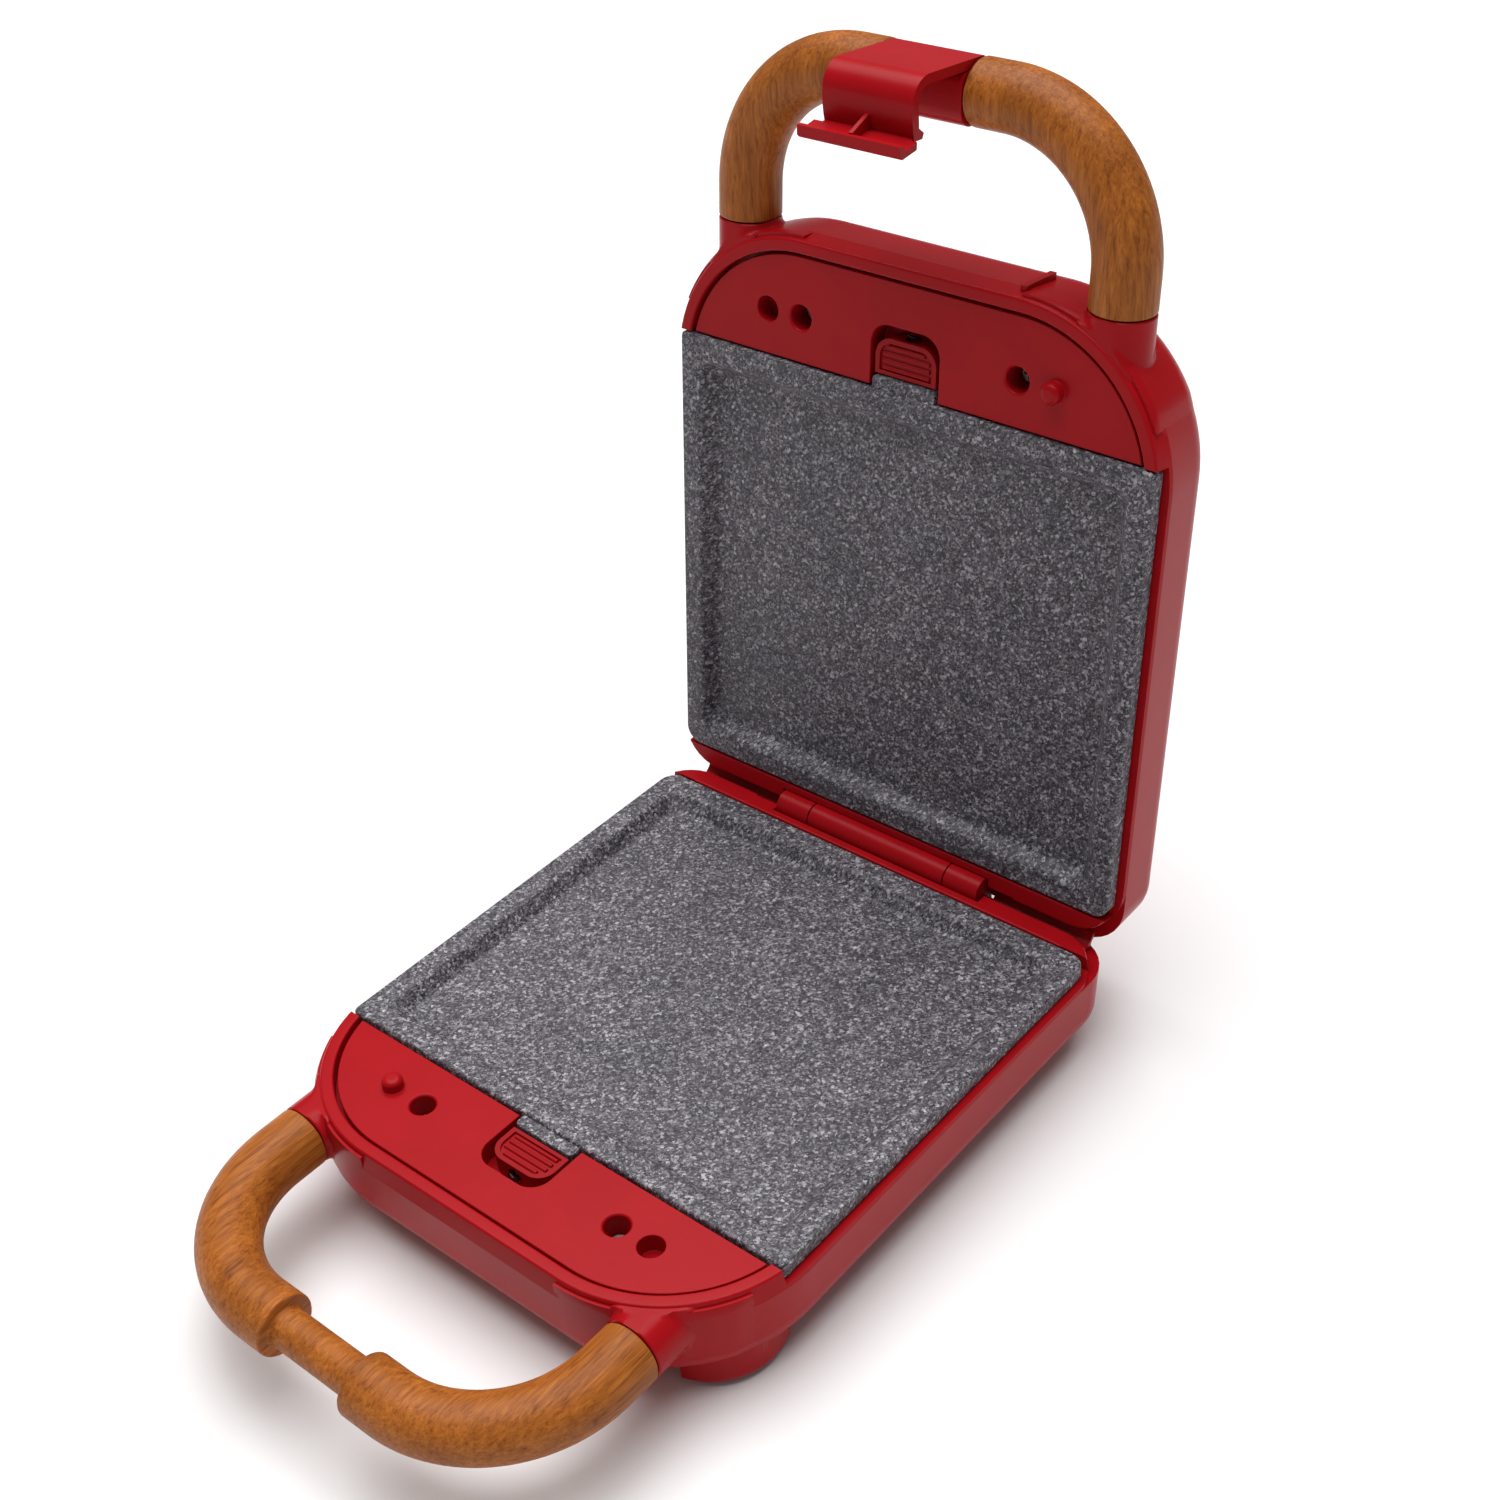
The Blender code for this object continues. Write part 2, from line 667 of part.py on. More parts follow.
def reflector(name):
    """A sheet pan behind the heating rod."""
    half, front, rear = 0.0580, -0.1160, -0.0130
    bm = bmesh.new()
    loft(bm, [
        pan_loop(half - 0.003, front + 0.003, rear - 0.003, PAN_FLOOR - PAN_THICK),
        pan_loop(half, front, rear, PAN_FLOOR + 0.0014),
        pan_loop(half, front, rear, PAN_TOP),
        pan_loop(half - PAN_THICK, front + PAN_THICK, rear - PAN_THICK, PAN_TOP),
        pan_loop(half - PAN_THICK, front + PAN_THICK, rear - PAN_THICK, PAN_FLOOR + 0.0016),
        pan_loop(half - 0.0034, front + 0.0034, rear - 0.0034, PAN_FLOOR),
    ])
    made = to_object(name, bm, "aluminium")

    def terminal_hole(side):
        def build(bm):
            add_turned(bm, (side * TERMINALS[0], TERMINALS[1]), [(0.0050, -0.0160), (0.0050, -0.0120)], 10)
        return build

    each_shape(made, "DIFFERENCE", [terminal_hole(-1), terminal_hole(1)])
    return made


def thermostat(name):
    """A round bimetal switch with two tabs, under the pan."""
    top = PAN_FLOOR - PAN_THICK - GAP
    bm = bmesh.new()
    add_turned(bm, (0.0, -0.0650), [(0.0085, top), (0.0085, top - 0.0012), (0.0068, top - 0.0014),
                                    (0.0068, top - 0.0050)], 16)
    made = to_object(name, bm, "ceramic")

    def tab(side):
        def build(bm):
            low, high = sorted((side * 0.0050, side * 0.0125))
            add_box(bm, (low, -0.0680, top - 0.0042), (high, -0.0620, top - 0.0034))
        return build

    each_shape(made, "UNION", [tab(-1), tab(1)])
    return made


def thermal_fuse(name):
    """A small cut-out with a lead at each end, under the pan."""
    z = PAN_FLOOR - PAN_THICK - 0.0026
    bm = bmesh.new()
    profile = [(0.0005, -0.0130), (0.0005, -0.0055), (0.0020, -0.0050), (0.0020, 0.0050),
               (0.0005, 0.0055), (0.0005, 0.0130)]
    add_turned(bm, (-0.0650, z), profile, 8, "X")
    return to_object(name, bm, "ceramic")


def terminal_block(name):
    """A three-way connector on the base's floor."""
    floor = -BODY_DEPTH + WALL + GAP
    bm = bmesh.new()
    add_box(bm, (-0.0140, -0.0160, floor), (0.0140, -0.0040, floor + 0.0064))
    made = to_object(name, bm, "ceramic")

    def wire_way(x):
        def build(bm):
            add_turned(bm, (x, floor + 0.0035), [(0.0018, -0.0180), (0.0018, -0.0020)], 8, "Y")
        return build

    def screw_way(x):
        def build(bm):
            add_turned(bm, (x, -0.0100), [(0.0016, floor + 0.0035), (0.0016, floor + 0.0100)], 8)
        return build

    places = (-0.0090, 0.0, 0.0090)
    each_shape(made, "DIFFERENCE", [wire_way(x) for x in places] + [screw_way(x) for x in places])
    return made


def cord_gland(name):
    """A flanged bush in the base's rear wall."""
    bm = bmesh.new()
    add_turned(bm, (GLAND_X, GLAND_Z), [(0.0036, 0.0005), (0.0036, REAR_Y + GAP), (0.0058, REAR_Y + GAP),
                                        (0.0052, REAR_Y + 0.0020)], 12, "Y")
    made = to_object(name, bm, "rubber")

    def bore(bm):
        add_turned(bm, (GLAND_X, GLAND_Z), [(0.0022, -0.0010), (0.0022, 0.0090)], 8, "Y")

    each_shape(made, "DIFFERENCE", [bore])
    return made


def indicator_lens(name, side):
    """A round lens that stands just proud of the lid, with a flange inside."""
    inside = -BODY_DEPTH + WALL + GAP
    bm = bmesh.new()
    add_turned(bm, (side * LENS_X, LENS_Y), [(0.0024, -0.0249), (0.0032, -0.0245), (0.0032, inside),
                                             (0.0044, inside), (0.0044, inside + 0.0012)], 12)
    return to_object(name, bm, "lens")


# ---------------------------------------------------------------- handles
def handle_path(side, end_x):
    """Centre line of a quarter of the loop, from its stub to the middle."""
    corners = [(side * HANDLE_X, GRIP_START_Y - GAP, HANDLE_Z), (side * HANDLE_X, HANDLE_Y, HANDLE_Z),
               (side * end_x, HANDLE_Y, HANDLE_Z)]
    return rounded_path(corners, HANDLE_BEND, 7)


def spigot_bore(side):
    def build(bm):
        add_turned(bm, (side * HANDLE_X, HANDLE_Z),
                   [(SPIGOT_RADIUS + GAP, GRIP_START_Y + 0.001),
                    (SPIGOT_RADIUS + GAP, GRIP_START_Y - SPIGOT_LENGTH - 0.0008)], 12, "Y")
    return build


def grip_radii(path):
    """The grip is a little thinner towards the middle of the loop."""
    last = len(path) - 1
    return [GRIP_RADIUS + (GRIP_RADIUS_MIDDLE - GRIP_RADIUS) * i / last for i in range(len(path))]


def lower_grip(name):
    """The whole lower loop, with a thin round neck for the latch clip."""
    right = handle_path(1, NECK_HALF)
    left = handle_path(-1, NECK_HALF)
    path = right + [Vector((NECK_HALF - 0.0001, HANDLE_Y, HANDLE_Z)),
                    Vector((0.0001 - NECK_HALF, HANDLE_Y, HANDLE_Z))] + left[::-1]
    radii = grip_radii(right) + [NECK_RADIUS, NECK_RADIUS] + grip_radii(left)[::-1]
    bm = bmesh.new()
    add_tube(bm, path, radii, 16)
    made = to_object(name, bm, "wood")
    each_shape(made, "DIFFERENCE", [spigot_bore(-1), spigot_bore(1)])
    return made


def upper_grip(name, side):
    path = handle_path(side, BRIDGE_HALF + GAP)
    bm = bmesh.new()
    add_tube(bm, path, grip_radii(path), 16)
    made = to_object(name, bm, "wood")

    def bridge_bore(bm):
        low, high = sorted((side * (BRIDGE_HALF - 0.001), side * (BRIDGE_HALF + 0.0075)))
        radius = BRIDGE_SPIGOT + GAP
        add_turned(bm, (HANDLE_Y, HANDLE_Z), [(radius, low), (radius, high)], 10, "X")

    each_shape(made, "DIFFERENCE", [spigot_bore(side), bridge_bore])
    return made


def latch_bridge(name):
    """The block between the upper grips: a spigot at each side, a slot and a pin bore for the clip."""
    outer, inner = CLIP_PIVOT_Y - BRIDGE_RADIUS, BRIDGE_INNER_Y
    top, bottom = CLIP_PIVOT_Z - BRIDGE_RADIUS, -0.0010
    outline = arc(CLIP_PIVOT_Y, CLIP_PIVOT_Z, BRIDGE_RADIUS, 180, 270, 6)
    outline += arc(inner - 0.0040, top + 0.0040, 0.0040, 270, 360, 4)
    outline += arc(inner - 0.0040, bottom - 0.0040, 0.0040, 0, 90, 4)
    outline += arc(outer + 0.0020, bottom - 0.0020, 0.0020, 90, 180, 3)
    bm = bmesh.new()
    add_prism(bm, outline, -BRIDGE_HALF, BRIDGE_HALF, "X")
    made = to_object(name, bm, "casing")

    def spigots(bm):
        reach = BRIDGE_HALF + 0.0066
        add_turned(bm, (HANDLE_Y, HANDLE_Z), [(BRIDGE_SPIGOT, -reach), (BRIDGE_SPIGOT, reach)], 10, "X")

    def slot(bm):
        add_box(bm, (-0.0033, outer - 0.002, top - 0.002), (0.0033, CLIP_PIVOT_Y + 0.0036, CLIP_PIVOT_Z + 0.0038))

    def pin_ways(bm):
        add_turned(bm, (CLIP_PIVOT_Y, CLIP_PIVOT_Z), [(0.0014, -0.0090), (0.0014, 0.0090)], 10, "X")

    each_shape(made, "UNION", [spigots])
    each_shape(made, "DIFFERENCE", [slot, pin_ways])
    return made


def clip_pin(name):
    bm = bmesh.new()
    add_turned(bm, (CLIP_PIVOT_Y, CLIP_PIVOT_Z), [(0.0010, -0.0086), (0.0010, 0.0086)], 10, "X")
    return to_object(name, bm, "steel")


def clip_outline():
    """Side view of the clip: flat arm, rounded corner, face under the neck, inward bead at its end."""
    inner_y = CLIP_ARM_Y + CLIP_THICK
    inner_z = CLIP_FACE_Z - CLIP_THICK
    corner_y = CLIP_ARM_Y + CLIP_CORNER
    corner_z = CLIP_FACE_Z - CLIP_CORNER
    points = [(CLIP_ARM_Y, CLIP_PIVOT_Z - 0.0032)]
    points += arc(corner_y, corner_z, CLIP_CORNER, 180, 90, 6)
    points += [(CLIP_END_Y, CLIP_FACE_Z), (CLIP_END_Y, inner_z - 0.0018), (CLIP_END_Y - 0.0012, inner_z - 0.0023),
               (CLIP_END_Y - 0.0022, inner_z)]
    points += arc(corner_y, corner_z, CLIP_CORNER - CLIP_THICK, 90, 180, 3)
    points += [(inner_y, CLIP_PIVOT_Z - 0.0032)]
    return [(y - CLIP_PIVOT_Y, z - CLIP_PIVOT_Z) for y, z in points]


def lip_outline():
    """Side view of the finger lip: a short shelf whose outer edge turns up."""
    shelf = CLIP_END_Y + 0.0014
    face = CLIP_FACE_Z
    points = [(CLIP_END_Y - 0.0006, face + 0.0003), (shelf - 0.0004, face + 0.0003), (shelf + 0.0006, face + 0.0052),
              (shelf, face + 0.0060), (shelf - 0.0022, face + 0.0062), (shelf - 0.0023, face + 0.0050),
              (shelf - 0.0010, face + 0.0042)]
    return [(y - CLIP_PIVOT_Y, z - CLIP_PIVOT_Z) for y, z in points]


def latch_clip(name):
    bm = bmesh.new()
    add_prism(bm, clip_outline(), -CLIP_HALF, CLIP_HALF, "X")
    made = to_object(name, bm, "casing")
    end = CLIP_END_Y - CLIP_PIVOT_Y
    face = CLIP_FACE_Z - CLIP_PIVOT_Z

    def lug(bm):
        arm = CLIP_ARM_Y + CLIP_THICK - 0.0010 - CLIP_PIVOT_Y
        outline = [(arm, 0.0032), (arm, -0.0032)] + arc(0, 0, 0.0032, 270, 450, 10)
        add_prism(bm, outline, -0.0029, 0.0029, "X")

    def root(bm):
        outline = [(end - 0.0008, face - 0.0012), (end + 0.0008, face - 0.0012), (end + 0.0012, face + 0.0010),
                   (end - 0.0004, face + 0.0010)]
        add_prism(bm, outline, 0.0003 - CLIP_HALF, CLIP_HALF - 0.0003, "X")

    def lip(bm):
        add_prism(bm, lip_outline(), -LIP_HALF, LIP_HALF, "X")

    def bore(bm):
        add_turned(bm, (0, 0), [(0.0013, -0.006), (0.0013, 0.006)], 10, "X")

    each_shape(made, "UNION", [lug, root, lip])
    each_shape(made, "DIFFERENCE", [bore])
    made.location = (0.0, CLIP_PIVOT_Y, CLIP_PIVOT_Z)
    return made


def hinge_pin(name):
    bm = bmesh.new()
    add_turned(bm, (0, 0), [(HINGE_PIN_RADIUS, end) for end in PIN_ENDS], 12, "X")
    return to_object(name, bm, "steel")


# ---------------------------------------------------------------- assembly
def clear_scene():
    for existing in list(bpy.data.objects):
        bpy.data.objects.remove(existing)


def frame_empty(name, matrix):
    made = bpy.data.objects.new(name, None)
    made.matrix_world = matrix
    bpy.context.scene.collection.objects.link(made)
    return made


def shade(made):
    made.data.shade_smooth()
    made.data.set_sharp_from_angle(angle=math.radians(30))


def build_base():
    pieces = [
        base_housing(),
        foot_pad("foot_pad_front_left", -FRONT_PAD[0], FRONT_PAD[1]),
        foot_pad("foot_pad_front_right", FRONT_PAD[0], FRONT_PAD[1]),
        foot_pad("foot_pad_rear_left", -REAR_FOOT[0], REAR_FOOT[1]),
        foot_pad("foot_pad_rear_right", REAR_FOOT[0], REAR_FOOT[1]),
        deck("lower_deck"),
        deck_screw("lower_deck_screw_left", -1),
        deck_screw("lower_deck_screw_right", 1),
        release_button("lower_release_button"),
        button_spring("lower_button_spring"),
        plate("lower_plate"),
        heating_element("lower_heating_element"),
        reflector("lower_reflector"),
        thermostat("thermostat"),
        terminal_block("terminal_block"),
        cord_gland("cord_gland"),
        lower_grip("lower_grip"),
        hinge_pin("hinge_pin"),
    ]
    return pieces


def build_lid():
    pieces = [
        lid_housing(),
        deck("upper_deck"),
        deck_screw("upper_deck_screw_left", 1),
        deck_screw("upper_deck_screw_right", -1),
        release_button("upper_release_button"),
        button_spring("upper_button_spring"),
        plate("upper_plate"),
        heating_element("upper_heating_element"),
        reflector("upper_reflector"),
        thermal_fuse("thermal_fuse"),
        indicator_lens("power_lens", -1),
        indicator_lens("ready_lens", 1),
        upper_grip("upper_grip_left", 1),
        upper_grip("upper_grip_right", -1),
        latch_bridge("latch_bridge"),
        clip_pin("clip_pin"),
        latch_clip("latch_clip"),
    ]
    return pieces


def main():
    clear_scene()
    hinge = Matrix.Translation((0.0, HINGE_Y, HINGE_Z))
    swing = Matrix.Rotation(-OPEN_ANGLE, 4, "X") @ Matrix.Rotation(math.pi, 4, "Y")
    base = build_base()
    lid = build_lid()
    base_frame = frame_empty("base_frame", hinge)
    lid_frame = frame_empty("lid_frame", hinge @ swing)
    for pieces, parent in ((base, base_frame), (lid, lid_frame)):
        for piece in pieces:
            piece.parent = parent
            shade(piece)


main()
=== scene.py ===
"""Looks for the hinged plate press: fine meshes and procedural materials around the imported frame.

Both casings are the same moulding, so each piece is modelled in a half frame: the hinge axis is the
X axis, the rim plane is z = 0, the body lies below it and the front points towards -Y. The lid's
pieces are then turned over and swung open with the frame's own hinge. All sizes are in metres.
"""
import json
import math

import bmesh
import bpy
from mathutils import Matrix, Vector


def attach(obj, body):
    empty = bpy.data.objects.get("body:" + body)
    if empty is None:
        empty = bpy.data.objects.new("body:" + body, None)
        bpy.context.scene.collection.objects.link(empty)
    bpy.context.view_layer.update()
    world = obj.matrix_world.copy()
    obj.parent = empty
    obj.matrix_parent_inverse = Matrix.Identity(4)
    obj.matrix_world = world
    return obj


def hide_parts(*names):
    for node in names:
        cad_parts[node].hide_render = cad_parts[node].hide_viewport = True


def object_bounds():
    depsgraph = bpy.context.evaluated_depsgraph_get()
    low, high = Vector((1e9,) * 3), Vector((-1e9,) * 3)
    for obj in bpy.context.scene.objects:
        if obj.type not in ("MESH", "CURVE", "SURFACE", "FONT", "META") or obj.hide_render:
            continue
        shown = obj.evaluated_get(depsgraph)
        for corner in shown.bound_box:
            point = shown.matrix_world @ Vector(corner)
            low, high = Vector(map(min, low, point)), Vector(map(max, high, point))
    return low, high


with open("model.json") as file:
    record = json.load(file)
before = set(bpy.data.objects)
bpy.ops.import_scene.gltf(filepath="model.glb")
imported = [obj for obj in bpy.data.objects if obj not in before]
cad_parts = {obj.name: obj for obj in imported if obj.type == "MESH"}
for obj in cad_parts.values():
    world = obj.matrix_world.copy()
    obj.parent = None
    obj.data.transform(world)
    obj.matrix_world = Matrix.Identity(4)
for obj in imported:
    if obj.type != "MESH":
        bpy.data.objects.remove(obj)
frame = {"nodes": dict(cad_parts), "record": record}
cad_low, cad_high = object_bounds()

# ---------------------------------------------------------------- places taken from the frame
joints = {joint["name"]: joint for joint in frame["record"]["behaviour"]["joints"]}
HINGE = Vector(joints["lid_hinge"]["pos_m"])
OPEN_ANGLE = math.radians(joints["lid_hinge"]["range_deg"][0])
BASE_FRAME = Matrix.Translation(HINGE)
LID_FRAME = BASE_FRAME @ Matrix.Rotation(OPEN_ANGLE, 4, "X") @ Matrix.Rotation(math.pi, 4, "Y")
CLIP_PIVOT = LID_FRAME.inverted() @ Vector(joints["clip_hinge"]["pos_m"])

# ---------------------------------------------------------------- driving sizes
HALF_WIDTH = 0.0678
FRONT_Y = -0.1530
REAR_Y = 0.0045
FRONT_RADIUS = 0.0380
CORNER_X = HALF_WIDTH - FRONT_RADIUS
CORNER_Y = FRONT_Y + FRONT_RADIUS
REAR_RADIUS = 0.0120
RIM_Z = -0.0004
RIM_INSET = 0.0008
BOTTOM_INSET = 0.0006
BODY_DEPTH = 0.0240
BOTTOM_RADIUS = 0.0080
WALL = 0.0022
FRONT_STEPS = 26
REAR_STEPS = 8
BAND_WIDTH = 0.0040
BAND_DEPTH = 0.0043
LEDGE_INSET = 0.0064
HINGE_SHELF_Z = -0.0054
HINGE_FACE_Y = -0.0006
CAVITY_REAR_Y = -0.0059
SIDE_WALL_Z = -0.0043
PLATE_HALF = 0.0659
PLATE_FRONT_Y = -0.1223
PLATE_REAR_Y = -0.0064
PLATE_TOP = -0.0002
PLATE_SIDE_Z = -0.0039
PLATE_FLOOR = -0.0040
PLATE_THICK = 0.0020
PLATE_RIM = 0.0058
PLATE_SLOPE = 0.0032
PLATE_REAR_RADIUS = 0.0042
DECK_TOP = -0.0012
DECK_BOTTOM = -0.0036
DECK_INSET = 0.0049
DECK_REAR_Y = -0.1228
HOLE_Y = -0.1336
SCREW_X = 0.0298
PEG_X = 0.0395
NOTCH_HALF = 0.0095
NOTCH_FRONT_Y = -0.1378
WELL_FLOOR = -0.0068
BUTTON_FRONT_Y = -0.1346
BUTTON_REAR_Y = -0.1258
HANDLE_X = 0.0502
HANDLE_Y = -0.1909
HANDLE_Z = -0.0079
GRIP_START_Y = -0.1521
GRIP_RADIUS = 0.0074
GRIP_RADIUS_MIDDLE = 0.0073
HANDLE_BEND = 0.0307
NECK_RADIUS = 0.0046
NECK_HALF = 0.0120
NECK_FILLET = 0.0006
BRIDGE_HALF = 0.0117
BRIDGE_RADIUS = 0.0050
BRIDGE_SPIGOT = 0.0033
CLIP_HALF = 0.0115
CLIP_THICK = 0.0021
CLIP_ARM_Y = -0.1981
CLIP_FACE_Z = 0.0160
CLIP_CORNER = 0.0056
CLIP_LEAN = 0.0011
CLIP_END_Y = -0.1852
LIP_HALF = 0.0132
KNUCKLE_RADIUS = 0.0036
BASE_KNUCKLES = ((-0.0316, -0.0216), (0.0216, 0.0316))
LID_KNUCKLES = ((-0.0212, 0.0212),)
PIN_BORE_RADIUS = 0.0016
PIN_BORE_END = 0.0300
FOOT_BOTTOM = -0.0285
POST_FOOT = -0.0225
GAP = 0.0003


# ---------------------------------------------------------------- node materials
class Nodes:
    """A short way to write a node tree for one material."""

    def __init__(self, name):
        self.material = bpy.data.materials.new(name)
        self.material.use_nodes = True
        self.tree = self.material.node_tree
        self.shader = self.tree.nodes["Principled BSDF"]

    def add(self, kind, inputs=None, **settings):
        node = self.tree.nodes.new(kind)
        for key, value in settings.items():
            setattr(node, key, value)
        for key, value in (inputs or {}).items():
            if isinstance(value, bpy.types.NodeSocket):
                self.tree.links.new(value, node.inputs[key])
            else:
                node.inputs[key].default_value = value
        return node

    def place(self, scale=(1.0, 1.0, 1.0)):
        """Object coordinates in millimetres, stretched by scale."""
        coordinates = self.add("ShaderNodeTexCoord").outputs["Object"]
        stretch = tuple(1000.0 * value for value in scale)
        return self.add("ShaderNodeMapping", {"Vector": coordinates, "Scale": stretch}).outputs["Vector"]

    def noise(self, vector, scale, detail=2.0, roughness=0.5, distortion=0.0):
        inputs = {"Vector": vector, "Scale": scale, "Detail": detail, "Roughness": roughness,
                  "Distortion": distortion}
        return self.add("ShaderNodeTexNoise", inputs).outputs["Fac"]

    def ramp(self, factor, stops):
        """A colour ramp: stops is a list of (position, colour)."""
        node = self.add("ShaderNodeValToRGB", {"Fac": factor})
        points = node.color_ramp.elements
        while len(points) < len(stops):
            points.new(0.5)
        for point, (position, color) in zip(points, stops):
            point.position = position
            point.color = (*color, 1.0)
        return node.outputs["Color"]

    def mix(self, factor, first, second, blend="MIX"):
        node = self.add("ShaderNodeMix", data_type="RGBA", blend_type=blend)
        for index, value in ((0, factor), (6, first), (7, second)):
            if isinstance(value, bpy.types.NodeSocket):
                self.tree.links.new(value, node.inputs[index])
            elif index:
                node.inputs[index].default_value = (*value, 1.0)
            else:
                node.inputs[index].default_value = value
        return node.outputs[2]

    def span(self, value, low, high):
        """Map 0..1 onto low..high."""
        inputs = {"Value": value, "To Min": low, "To Max": high}
        return self.add("ShaderNodeMapRange", inputs).outputs["Result"]

    def bump(self, height, distance, strength=1.0, normal=None):
        inputs = {"Height": height, "Distance": distance, "Strength": strength}
        if normal:
            inputs["Normal"] = normal
        return self.add("ShaderNodeBump", inputs).outputs["Normal"]

    def set(self, **values):
        """Set or link the shader's inputs, with underscores for spaces."""
        for key, value in values.items():
            socket = self.shader.inputs[key.replace("_", " ")]
            if isinstance(value, bpy.types.NodeSocket):
                self.tree.links.new(value, socket)
            else:
                socket.default_value = value
        return self.material


def moulded_plastic(name, color, deep, roughness):
    """Glossy moulded plastic: a faint mottle, fine orange peel and slightly uneven gloss."""
    nodes = Nodes(name)
    place = nodes.place()
    mottle = nodes.noise(place, 0.09, 3.0)
    grain = nodes.noise(place, 2.2, 2.0)
    peel = nodes.noise(place, 0.55, 2.0)
    base = nodes.ramp(mottle, [(0.30, deep), (0.70, color)])
    rough = nodes.span(grain, roughness - 0.04, roughness + 0.05)
    normal = nodes.bump(peel, 0.00002, 0.5, nodes.bump(grain, 0.000008, 0.4))
    return nodes.set(Base_Color=base, Roughness=rough, Normal=normal, IOR=1.46,
                     Specular_IOR_Level=0.12)


def stone_coating():
    """Speckled non-stick coating: two sizes of grain and a slow cloud over dark grey."""
    nodes = Nodes("stone_coating")
    place = nodes.place()
    warp = nodes.noise(place, 1.7, 2.0)
    shifted = nodes.add("ShaderNodeVectorMath", {0: place, 1: warp}, operation="ADD").outputs[0]
    cells = nodes.add("ShaderNodeTexVoronoi", {"Vector": shifted, "Scale": 1.50}).outputs["Color"]
    small = nodes.add("ShaderNodeTexVoronoi", {"Vector": shifted, "Scale": 2.6}).outputs["Color"]
    value = nodes.add("ShaderNodeSeparateColor", {"Color": cells}).outputs["Red"]
    fine = nodes.add("ShaderNodeSeparateColor", {"Color": small}).outputs["Green"]
    coarse = nodes.ramp(value, [
        (0.00, (0.006, 0.005, 0.008)),
        (0.34, (0.036, 0.032, 0.040)),
        (0.66, (0.100, 0.090, 0.107)),
        (0.88, (0.280, 0.265, 0.290)),
        (1.00, (0.700, 0.690, 0.720)),
    ])
    detail = nodes.ramp(fine, [
        (0.00, (0.008, 0.007, 0.010)),
        (0.50, (0.064, 0.057, 0.070)),
        (0.86, (0.210, 0.197, 0.220)),
        (1.00, (0.600, 0.590, 0.620)),
    ])
    grains = nodes.mix(0.5, coarse, detail)
    cloud = nodes.noise(place, 0.05, 3.0)
    shade = nodes.ramp(cloud, [(0.25, (0.80, 0.80, 0.82)), (0.75, (1.12, 1.10, 1.10))])
    base = nodes.mix(1.0, grains, shade, "MULTIPLY")
    rough = nodes.span(value, 0.42, 0.66)
    normal = nodes.bump(value, 0.00006, 0.5, nodes.bump(fine, 0.00004, 0.4))
    return nodes.set(Base_Color=base, Roughness=rough, Normal=normal, Specular_IOR_Level=0.4)


def wood(name, along):
    """Satin wood grain; along shrinks the pattern's scale on the axis that the grain follows."""
    nodes = Nodes(name)
    place = nodes.place(along)
    bend = nodes.noise(place, 0.05, 2.0)
    wander = nodes.span(bend, -1.5, 1.5)
    shifted = nodes.add("ShaderNodeVectorMath", {0: place, 1: wander}, operation="ADD").outputs[0]
    streaks = nodes.noise(shifted, 1.1, 4.0, 0.65, 0.4)
    fibres = nodes.noise(shifted, 3.2, 3.0, 0.6)
    bands = nodes.noise(place, 0.13, 2.0)
    base = nodes.ramp(streaks, [
        (0.26, (0.19, 0.052, 0.0075)),
        (0.42, (0.34, 0.100, 0.015)),
        (0.58, (0.44, 0.140, 0.022)),
        (0.78, (0.56, 0.200, 0.036)),
    ])
    fibre = nodes.ramp(fibres, [(0.30, (0.60, 0.52, 0.44)), (0.52, (1.0, 1.0, 1.0))])
    tone = nodes.ramp(bands, [(0.30, (0.74, 0.70, 0.64)), (0.70, (1.08, 1.06, 1.04))])
    base = nodes.mix(0.75, base, fibre, "MULTIPLY")
    base = nodes.mix(1.0, base, tone, "MULTIPLY")
    rough = nodes.span(streaks, 0.52, 0.36)
    normal = nodes.bump(fibres, 0.00005, 0.5, nodes.bump(streaks, 0.00008, 0.35))
    return nodes.set(Base_Color=base, Roughness=rough, Normal=normal, Specular_IOR_Level=0.18)


def metal(name, light, dark, roughness, stretch=(1.0, 1.0, 1.0), grain=1.5):
    """Bare metal with brushed or cloudy variation."""
    nodes = Nodes(name)
    brushed = nodes.noise(nodes.place(stretch), grain, 4.0, 0.6)
    cloud = nodes.noise(nodes.place(), 0.12, 2.0)
    base = nodes.ramp(cloud, [(0.25, dark), (0.75, light)])
    rough = nodes.span(brushed, roughness - 0.08, roughness + 0.12)
    normal = nodes.bump(brushed, 0.00002, 0.5)
    return nodes.set(Base_Color=base, Roughness=rough, Normal=normal, Metallic=1.0)


def dull(name, light, dark, roughness, grain, depth):
    """Ceramic or rubber: matt, with a fine grain."""
    nodes = Nodes(name)
    place = nodes.place()
    speck = nodes.noise(place, grain, 3.0, 0.6)
    base = nodes.ramp(nodes.noise(place, 0.3, 2.0), [(0.30, dark), (0.70, light)])
    rough = nodes.span(speck, roughness - 0.08, roughness + 0.08)
    return nodes.set(Base_Color=base, Roughness=rough, Normal=nodes.bump(speck, depth, 0.5))


def lens():
    """Tinted clear plastic with a moulded ripple."""
    nodes = Nodes("lens_amber")
    place = nodes.place()
    ripple = nodes.add("ShaderNodeTexVoronoi", {"Vector": place, "Scale": 1.4}).outputs["Distance"]
    base = nodes.ramp(ripple, [(0.0, (0.90, 0.34, 0.08)), (0.7, (0.55, 0.13, 0.02))])
    return nodes.set(Base_Color=base, Roughness=0.12, Normal=nodes.bump(ripple, 0.0001, 0.4),
                     Coat_Weight=0.6)


